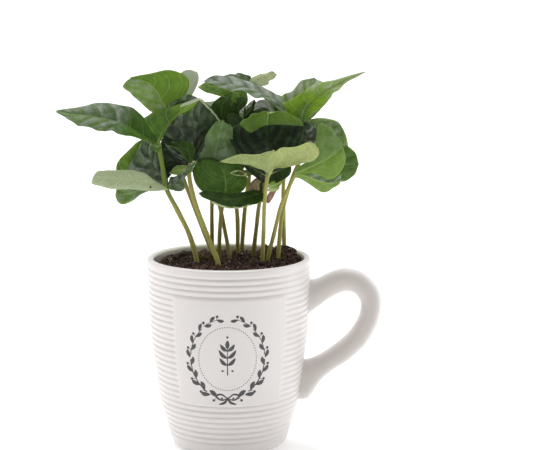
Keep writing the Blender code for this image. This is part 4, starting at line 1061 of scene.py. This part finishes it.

# Seventh seedling: the tallest at the back.
# Small leaves at the very top, one with a wavy edge, a bright drooping one that points left, and dark ones,
# painted near black as shade, that fill the clump's middle.
grow_seedling("plant_07",
              [(5, 24, 104), (5, 18, 122), (4, 15, 138), (6, 18, 160), (7.5, 24, 182), (7, 26, 190),
              (12.5, 25, 197)], wood=0.55, blades=[
    drawn([(12.5, 197), (7.5, 201), (-2.5, 202)], left=[(11.5, 197.5), (5.5, 198), (0, 200)],
          right=[(12.5, 202), (9, 203), (6, 204), (4, 203), (1.5, 203.5)], depth=(25, 29, 0), aside=(-2, 2),
          crumple=0.3, tone=(0.35, 0.3), sheen=(0.6, 0.55)),
    drawn([(12.5, 197), (16, 201), (21, 203), (27, 203.5)],
          left=[(15.5, 197.5), (20, 198), (23, 199), (23, 200.5), (26, 202)],
          right=[(12.5, 199.5), (14.5, 202), (18, 203.5), (22.5, 204.5), (25, 205)], depth=(25, 24, -1),
          aside=(-2, 1), wave=(0.6, 3, 0), below=True, crumple=0.4, tone=0.9, sheen=0.5),
    drawn([(7, 181), (5.5, 186), (10.5, 191)], left=[(3, 182.5), (2.5, 186.5), (5, 190), (7.5, 191.5)],
          right=[(8, 183.5), (9.5, 187.5)], depth=(23, 18, 0), tone=(0.25, 0.3), rim=(0.25, 0.85)),
    drawn([(7.5, 175), (5.5, 178.5), (-0.5, 181.5)], left=[(5, 173), (2.5, 175.5), (0, 178.5)],
          right=[(10, 177.5), (7, 180.5), (4, 182), (1, 182.5)], depth=(21, 12, -2), tone=(0.14, 0.2),
          rim=(0.5, 0.88)),
    drawn([(8.5, 180), (12, 185.5), (14.5, 190)], left=[(9.5, 185), (12, 188)],
          right=[(11.5, 182.5), (15, 187)], depth=(22, 15, 0), tone=(0.2, 0.22), sheen=(3, 0), crumple=0.5),
    drawn([(8.5, 180), (10.5, 184.5), (13, 187.5)], left=[(8, 184), (10, 186.5)],
          right=[(10.5, 182.5), (13, 185.5)], depth=(21, 13, 0), tone=(0.2, 0.22), sheen=(3, 0.3),
          crumple=0.5),
    drawn([(8.5, 179.5), (8.5, 183.5), (9, 186)], left=[(6.5, 183), (7.5, 185)],
          right=[(9.5, 182.5), (10, 184.5)], depth=(21, 12, 0), tone=(0.2, 0.22), sheen=(3, 0), crumple=0.5),
    drawn([(8.5, 184.5), (6, 192), (0, 195.5), (-8.5, 197.5), (-16.5, 197.5)],
          left=[(4.5, 189), (1.5, 191.5), (-3.5, 192.5), (-8, 194), (-12.5, 195)],
          right=[(10.5, 189), (9.5, 194), (4.5, 197.5), (-3.5, 200), (-10, 200.5)], depth=(24, 14, 0),
          aside=(-4, 4), tone=(0.68, 0.66), rim=(0.05, 0.7), dry=(0.8, 0.94)),
    # Painted shade: a near-black leaf that fills the clump's middle.
    drawn([(7, 178), (17, 180), (29, 182)], left=[(9, 184), (18, 188), (26, 187)],
          right=[(8, 170), (19, 170), (29, 175)], depth=(23, 27, 0), tone=0.03, crumple=0.4),
    plain("pointed", (8, 24, 180), (10, 57, 178), 4, (7, 8), 15, sheen=0.2),
])

# Eighth seedling: right of the middle.
# Its top leaf arches over to the left, grey with painted sheen from end to end, above dark ones with sharp
# folds.
grow_seedling("plant_08",
              [(7.5, 30, 104), (9, 18, 127), (11, 9, 144), (13, 10, 153), (21, 15, 168), (31, 20, 181.5)],
              wood=0.55, blades=[
    drawn([(25, 174), (24, 182), (20.5, 186), (14.5, 184.5)], left=[(22, 178), (18, 180), (15, 182)],
          right=[(25.5, 182), (24.5, 186.5), (22, 189), (18, 189.5), (15, 187.5)], depth=(18, 15, 0),
          aside=(-2, 2), crumple=0.6, tone=0.2, sheen=(0.3, 4), rim=(0.45, 0.85)),
    drawn([(31.5, 181.5), (28.5, 187.5), (23.5, 191.5), (16.5, 194.5), (9.5, 197), (2, 199), (-5.5, 200.5),
          (-13, 201)],
          left=[(29.5, 184), (25, 188.5), (20.5, 191.5), (15.5, 192), (11.5, 194.5), (7, 196), (0.5, 197),
          (-5, 198), (-9.5, 200.5)],
          right=[(31.5, 185.5), (28.5, 190), (24.5, 193.5), (19, 196.5), (12, 199.5), (5, 201.5),
          (-1.5, 203), (-7, 203.5)], depth=(20, 10, 0), aside=(-6, 6), wave=(0.5, 4, 0.2), tone=(0.3, 0.26),
          sides=(0.12, 0), sheen=(1.1, 1.3)),
    drawn([(31.5, 182), (26, 186), (20, 191)], left=[(29.5, 181), (26, 182), (24, 186.5), (22, 189)],
          right=[(29.5, 186), (24.5, 190.5)], depth=(20.5, 18.5, 1), tone=(0.62, 0.66), rim=(0.1, 0.7)),
    plain("pointed", (31, 20, 181.5), (30, 50, 189), 4, 9, 12, sheen=0.2),
])

# Ninth seedling: in front of the middle.
# A short stem with a dark leaf that lies low like a cradle in front of the stems, a shaded one above it,
# and a withered pair of first leaves.
grow_seedling("plant_09", [(14, 16, 104), (15.5, 9, 120), (17, 2, 134), (19.5, -1, 141), (20, 4.5, 151)],
              wood=0.4, blades=[
    drawn([(20, 152), (20.5, 149.5), (21.5, 146.5)],
          left=[(27.5, 158.5), (33.5, 156), (34, 151.5), (30.5, 148.5), (25.5, 146.5)],
          right=[(14, 157), (7.5, 158.5), (10, 153.5), (15, 149.5), (18, 147.5)], depth=(4, -9, 0),
          aside=(-1, 1), tone=(0.12, 0.1), sides=(0.1, 0), sheen=(0.1, 0.25)),
    drawn([(19.5, 140.5), (10, 139), (0, 138), (-9, 139.5), (-16, 142)],
          left=[(19, 137.5), (12.5, 135.5), (6, 134.5), (-1, 135), (-8.5, 137.5), (-13.5, 140.5)],
          right=[(15.5, 141.5), (8.5, 141), (1.5, 140.5), (-6, 141.5), (-11.5, 143)], depth=(-1, -13, -3),
          aside=(-4, 4), tone=0.2, rim=(0.4, 0.86), wave=(0.5, 4, 0.3), sheen=0),
    drawn([(-9, 137.5), (-5, 135.5), (-1, 134.5), (6, 134), (12.5, 135)], left=[(-1, 134.5), (6, 134)],
          right=[(-1, 134.5), (6, 134)], depth=(-16, -10, -1), below=True, tone=0.1),
    drawn([(19.5, 147), (19, 141.5), (18, 135.5)], left=[(21, 144.5), (21, 140), (20, 136)],
          right=[(17.5, 144.5), (17.5, 140.5), (16.5, 137)], depth=(2, -2, 0), tone=(0.25, 0.22),
          crumple=0.4),
    drawn([(19.5, 149), (14, 151), (8, 151), (5.5, 151)], left=[(14, 149.5), (9, 148.5), (6.5, 149.5)],
          right=[(15, 152), (9, 153), (6.5, 152.5)], depth=(4, 1, 0), crumple=0.8, below=True, tone=0.3,
          dry=(0.45, -1)),
    drawn([(10, 150.5), (6.5, 152.5), (1, 151.5)], left=[(8, 151), (4.5, 152.5), (2.5, 152)],
          right=[(8, 152), (4.5, 153.5), (2, 152.5)], depth=(2, -1, 0), below=True, tone=1.2, sheen=0.6,
          dry=(0.2, 0.7)),
    drawn([(9.5, 150), (5, 150), (1, 151.5)], left=[(7, 149), (3.5, 150)], right=[(7, 150), (3.5, 151)],
          depth=(2, -1, 0), below=True, tone=1.2, sheen=0.6),
    plain("oval", (20, 4.5, 151), (25, 38, 152), 3, (8, 7), 8, peak=(0.6, 0.65), tone=0.45),
])

# Tenth seedling: the front right.
# Its front leaf shows only its pale underside, spread wide from the stem's top, before a great cup of a leaf
# that is painted dark inside as shade, with a waved rim painted bright where the light falls on it.
grow_seedling("plant_10", [(18.5, -4, 104), (19, -8, 118), (19.5, -12, 136), (21, -16, 152)], wood=0.8,
              blades=[
    drawn([(21.5, 151.5), (22, 158), (22.5, 160.5), (24, 165.5)],
          left=[(24, 156), (27, 157), (34, 158), (39.5, 159.5), (44, 161), (47, 163.5), (48, 166),
          (47.5, 168.5), (45.5, 171), (43, 171.5), (40, 170.5), (35.5, 168.5), (30, 168)],
          right=[(19.5, 155), (16.5, 157), (11, 158.5), (5, 160), (0, 159.5), (-5, 159), (2.5, 162),
          (8.5, 163.5), (14, 162.5), (20, 164.5)], depth=(-16, -19, 0), aside=(-11, 3), swell=(-0.9, -0.6),
          below=True, fan=1.2, crumple=0.45, tone=(0.6, 0.64), sides=(0.35, -0.3), rim=(0.3, 0.8)),
    # Painted shade inside the cup, and painted light on its rim above a shadow's edge.
    drawn([(21, 152), (21, 161), (21, 169), (22, 184)],
          left=[(14.5, 154.5), (7, 158.5), (2.5, 165), (1, 171.5), (3, 176), (7, 178), (8, 180), (11.5, 181),
          (13, 183.5), (17, 184), (19, 184.5)],
          right=[(30, 156), (36.5, 162), (39, 168), (40.5, 174), (40, 179.5), (35, 183), (29.5, 184.5),
          (25.5, 184.5)], depth=(-16, 4, 8), aside=(-2, -3), swell=-3, wave=(1, 4, 0), crumple=0.3, fan=1.6,
          tone=(0.04, 0.06), lit=(0.6, 176.6, 177.3), lit_side=(0.6, 20.5, 1.6, 12)),
    drawn([(21.5, 145.5), (26, 145.5), (29.5, 147.5)], left=[(23.5, 147.5), (26.5, 147)],
          right=[(25, 144.5), (28, 145)], depth=(-13.5, -2, 0), tone=(0.8, 0.85)),
    drawn([(21.5, 143.5), (25.5, 143.5), (28, 143.5)], left=[(25, 142.5), (27, 142.5)],
          right=[(24, 144.5), (26, 144.5)], depth=(-13, -3, 0), crumple=0.8, below=True, tone=0.9),
])

# Eleventh seedling: the right.
# A light green round leaf faces the front, with a folded one under it and one that lies back.
grow_seedling("plant_11", [(22, 4, 104), (25, 1, 117), (29, -3, 134), (35.5, -7, 150)], wood=0.9, blades=[
    plain("oval", (35.5, -7, 150), (57, 30, 140), 1, (5, 8), 8, peak=(0.65, 0.5), tone=0.45),
    drawn([(35.5, 151.5), (43, 155), (51.5, 159), (58.5, 163), (62.5, 165.5)],
          left=[(39, 155.5), (45, 159.5), (48, 166.5), (48, 174), (49.5, 178.5), (53, 178.5), (56.5, 176),
          (59, 172), (61.5, 169)],
          right=[(38, 151.5), (44, 152.5), (49.5, 151.5), (54, 149.5), (58, 150), (61.5, 154),
          (63.5, 159.5)], depth=(-7, -7, -4), aside=(1, 1), swell=1, fan=1.8, tone=(0.8, 0.76),
          sides=(-0.1, 0.05), rim=(0.06, 0.8), sheen=(0.22, 0.12)),
    drawn([(35.5, 151), (42.5, 150), (49.5, 147), (56.5, 145.5), (62, 147)],
          left=[(39.5, 152), (47, 151), (53.5, 148.5), (59, 148), (62, 150.5)],
          right=[(39, 149.5), (44.5, 146), (50, 142), (54, 141.5), (57.5, 143.5), (60.5, 145)],
          depth=(-7, 0, 0), aside=(2, -1), tone=0.85, sides=(-0.3, 0.05), sheen=(0.9, 0.25)),
])

# Twelfth seedling: the far right.
# Two round mid green leaves, one above the other, at the clump's right edge.
grow_seedling("plant_12", [(27.5, 5, 104), (30, 10, 128), (35, 14, 145), (40, 16, 156), (43, 18, 162)],
              wood=0.75, blades=[
    drawn([(43.5, 161), (50, 166), (57.5, 170.5), (64, 173.5)],
          left=[(41, 168.5), (41.5, 176.5), (45, 179), (51, 180), (57.5, 179), (61.5, 177.5)],
          right=[(50, 161), (58, 161), (64, 162), (66.5, 164.5), (65.5, 170)], depth=(18, 12, -1),
          aside=(0, 1), swell=0.8, tone=(0.78, 0.68), rim=(0.2, 0.8), sheen=(0.85, 0.25)),
    drawn([(43.5, 160.5), (52.5, 157.5), (62, 154.5), (72.5, 154.5)],
          left=[(46.5, 163.5), (54, 166), (62.5, 166), (67.5, 163.5), (71, 160)],
          right=[(47, 154.5), (53, 149), (59.5, 145.5), (66, 145), (70.5, 149)], depth=(18, 12, -1),
          aside=(0, 1), swell=0.8, tone=(0.62, 0.58), sheen=0.12),
    plain("round", (43, 18, 161), (52, 46, 164), 3, 13, 10, tone=0.45, sheen=0.2),
])

# Thirteenth seedling: the tall one on the right.
# A long bright leaf points up to the right, with one behind it made grey-green by painted sheen, and a dark
# one below with streaks of painted reflection.
grow_seedling("plant_13",
              [(31.5, 22, 104), (31, 18, 125), (31, 18, 145), (34.5, 14, 162), (40.5, 10.5, 178)], wood=0.8,
              blades=[
    drawn([(40.5, 178), (41, 188), (43.5, 194.5), (48, 201.5)],
          left=[(35.5, 183), (31, 187.5), (30.5, 192.5), (35, 194), (38.5, 197.5), (41.5, 200.5)],
          right=[(45, 184.5), (50.5, 191.5), (53.5, 198), (51.5, 200.5)], depth=(11, 24, 0),
          tone=(0.76, 0.8), sheen=1.15, crumple=0.5, rim=(0.2, 0.85)),
    drawn([(41, 178.5), (42.5, 184.5), (45, 190), (50.5, 194), (58, 198), (66.5, 202), (75, 206)],
          left=[(37.5, 180), (33, 184), (31, 188), (33.5, 189.5), (38.5, 192.5), (44, 196.5), (50.5, 199.5),
          (59, 201.5), (67.5, 204)],
          right=[(43.5, 180.5), (47.5, 184.5), (52, 188), (56, 192), (57.5, 195), (60.5, 196.5), (64, 200),
          (69.5, 203)], depth=(10, 6, 0), aside=(1, -2), swell=0.8, tone=(0.92, 1.12), sheen=(1.1, 0.95),
          sheen_from=0.5, sides=(0, 0.03)),
    drawn([(40.5, 178.5), (41, 184), (44, 189.5)], left=[(38.5, 181.5), (39.5, 185.5), (41.5, 187.5)],
          right=[(42.5, 182), (44, 186)], depth=(9, 5, 0), tone=0.55, rim=(0.15, 0.7)),
    # Painted reflection: grey streaks on a dark leaf.
    drawn([(37, 166), (39, 169.5), (42.5, 174), (45, 177.5)],
          left=[(35, 169), (36.5, 175), (39.5, 179), (42.5, 179)],
          right=[(41.5, 164.5), (47, 167), (49, 171), (48, 175)], depth=(12, 5, 0), crumple=0.8,
          tone=(0.04, 0.05), sheen=(0.8, 1)),
    plain("pointed", (40.5, 11, 178), (53, 46, 184), 5, (9, 11), 15, sheen=0.2),
])

# The dry seed coats.
# Two papery husks that the seed leaves pushed off: one tan, one reddish, each hanging beside a stem with a
# dark scar where the seed sat. Each has its dark and its light colour and its outline.
HUSKS = {
    "seed_coat_tan": ((0.16, 0.1, 0.055), (0.42, 0.32, 0.21), drawn(
        [(16, 147.5), (15, 143.5), (14.5, 139.5)], left=[(17.5, 147), (17.5, 143.5), (17, 140)],
        right=[(14, 146), (12, 143.5), (11.5, 140)], depth=(7.1, 6.2, 0), aside=(1.5, 1.5), swell=0.4,
        crumple=0.3)),
    "seed_coat_red": ((0.17, 0.07, 0.045), (0.5, 0.33, 0.27), drawn(
        [(25.5, 143), (24, 139.5), (21.5, 134.5)], left=[(26.5, 142), (25, 139), (23, 136)],
        right=[(24, 142), (22, 139), (21, 136)], depth=(-1.2, -1.4, 0), aside=(1.2, 1.2), swell=0.3,
        crumple=0.5))}
SCAR, SCAR_HEIGHTS = (0.07, 0.035, 0.03), (0.1455, 0.1475)
for name, (dark, light, shape) in HUSKS.items():
    husk, shade, sockets = new_finish(name + "_husk", {"Metallic": 0.0, "Specular IOR Level": 0.3})
    place = shade.place()
    ribs = place.streaks((1400, 1400, 260), 4)
    freckles = place.noise(900, 2).step(0.56, 0.64)
    scar = place.parts()[2].step(*SCAR_HEIGHTS)
    tone = (0.6 * freckles).pick(ribs.step(0.25, 0.65).pick(dark, light), dark)
    shade.feed(sockets["Base Color"], (0.8 * scar).pick(tone, SCAR))
    shade.feed(sockets["Roughness"], 0.65 + 0.25 * ribs)
    shade.feed(sockets["Normal"], ribs.bumps(0.7, 0.0003))
    points, faces = leaf_body(shape)[:2]
    coat = new_piece(name + "_dry", points, faces.tolist(), husk)
    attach(coat, "root")
    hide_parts(name)
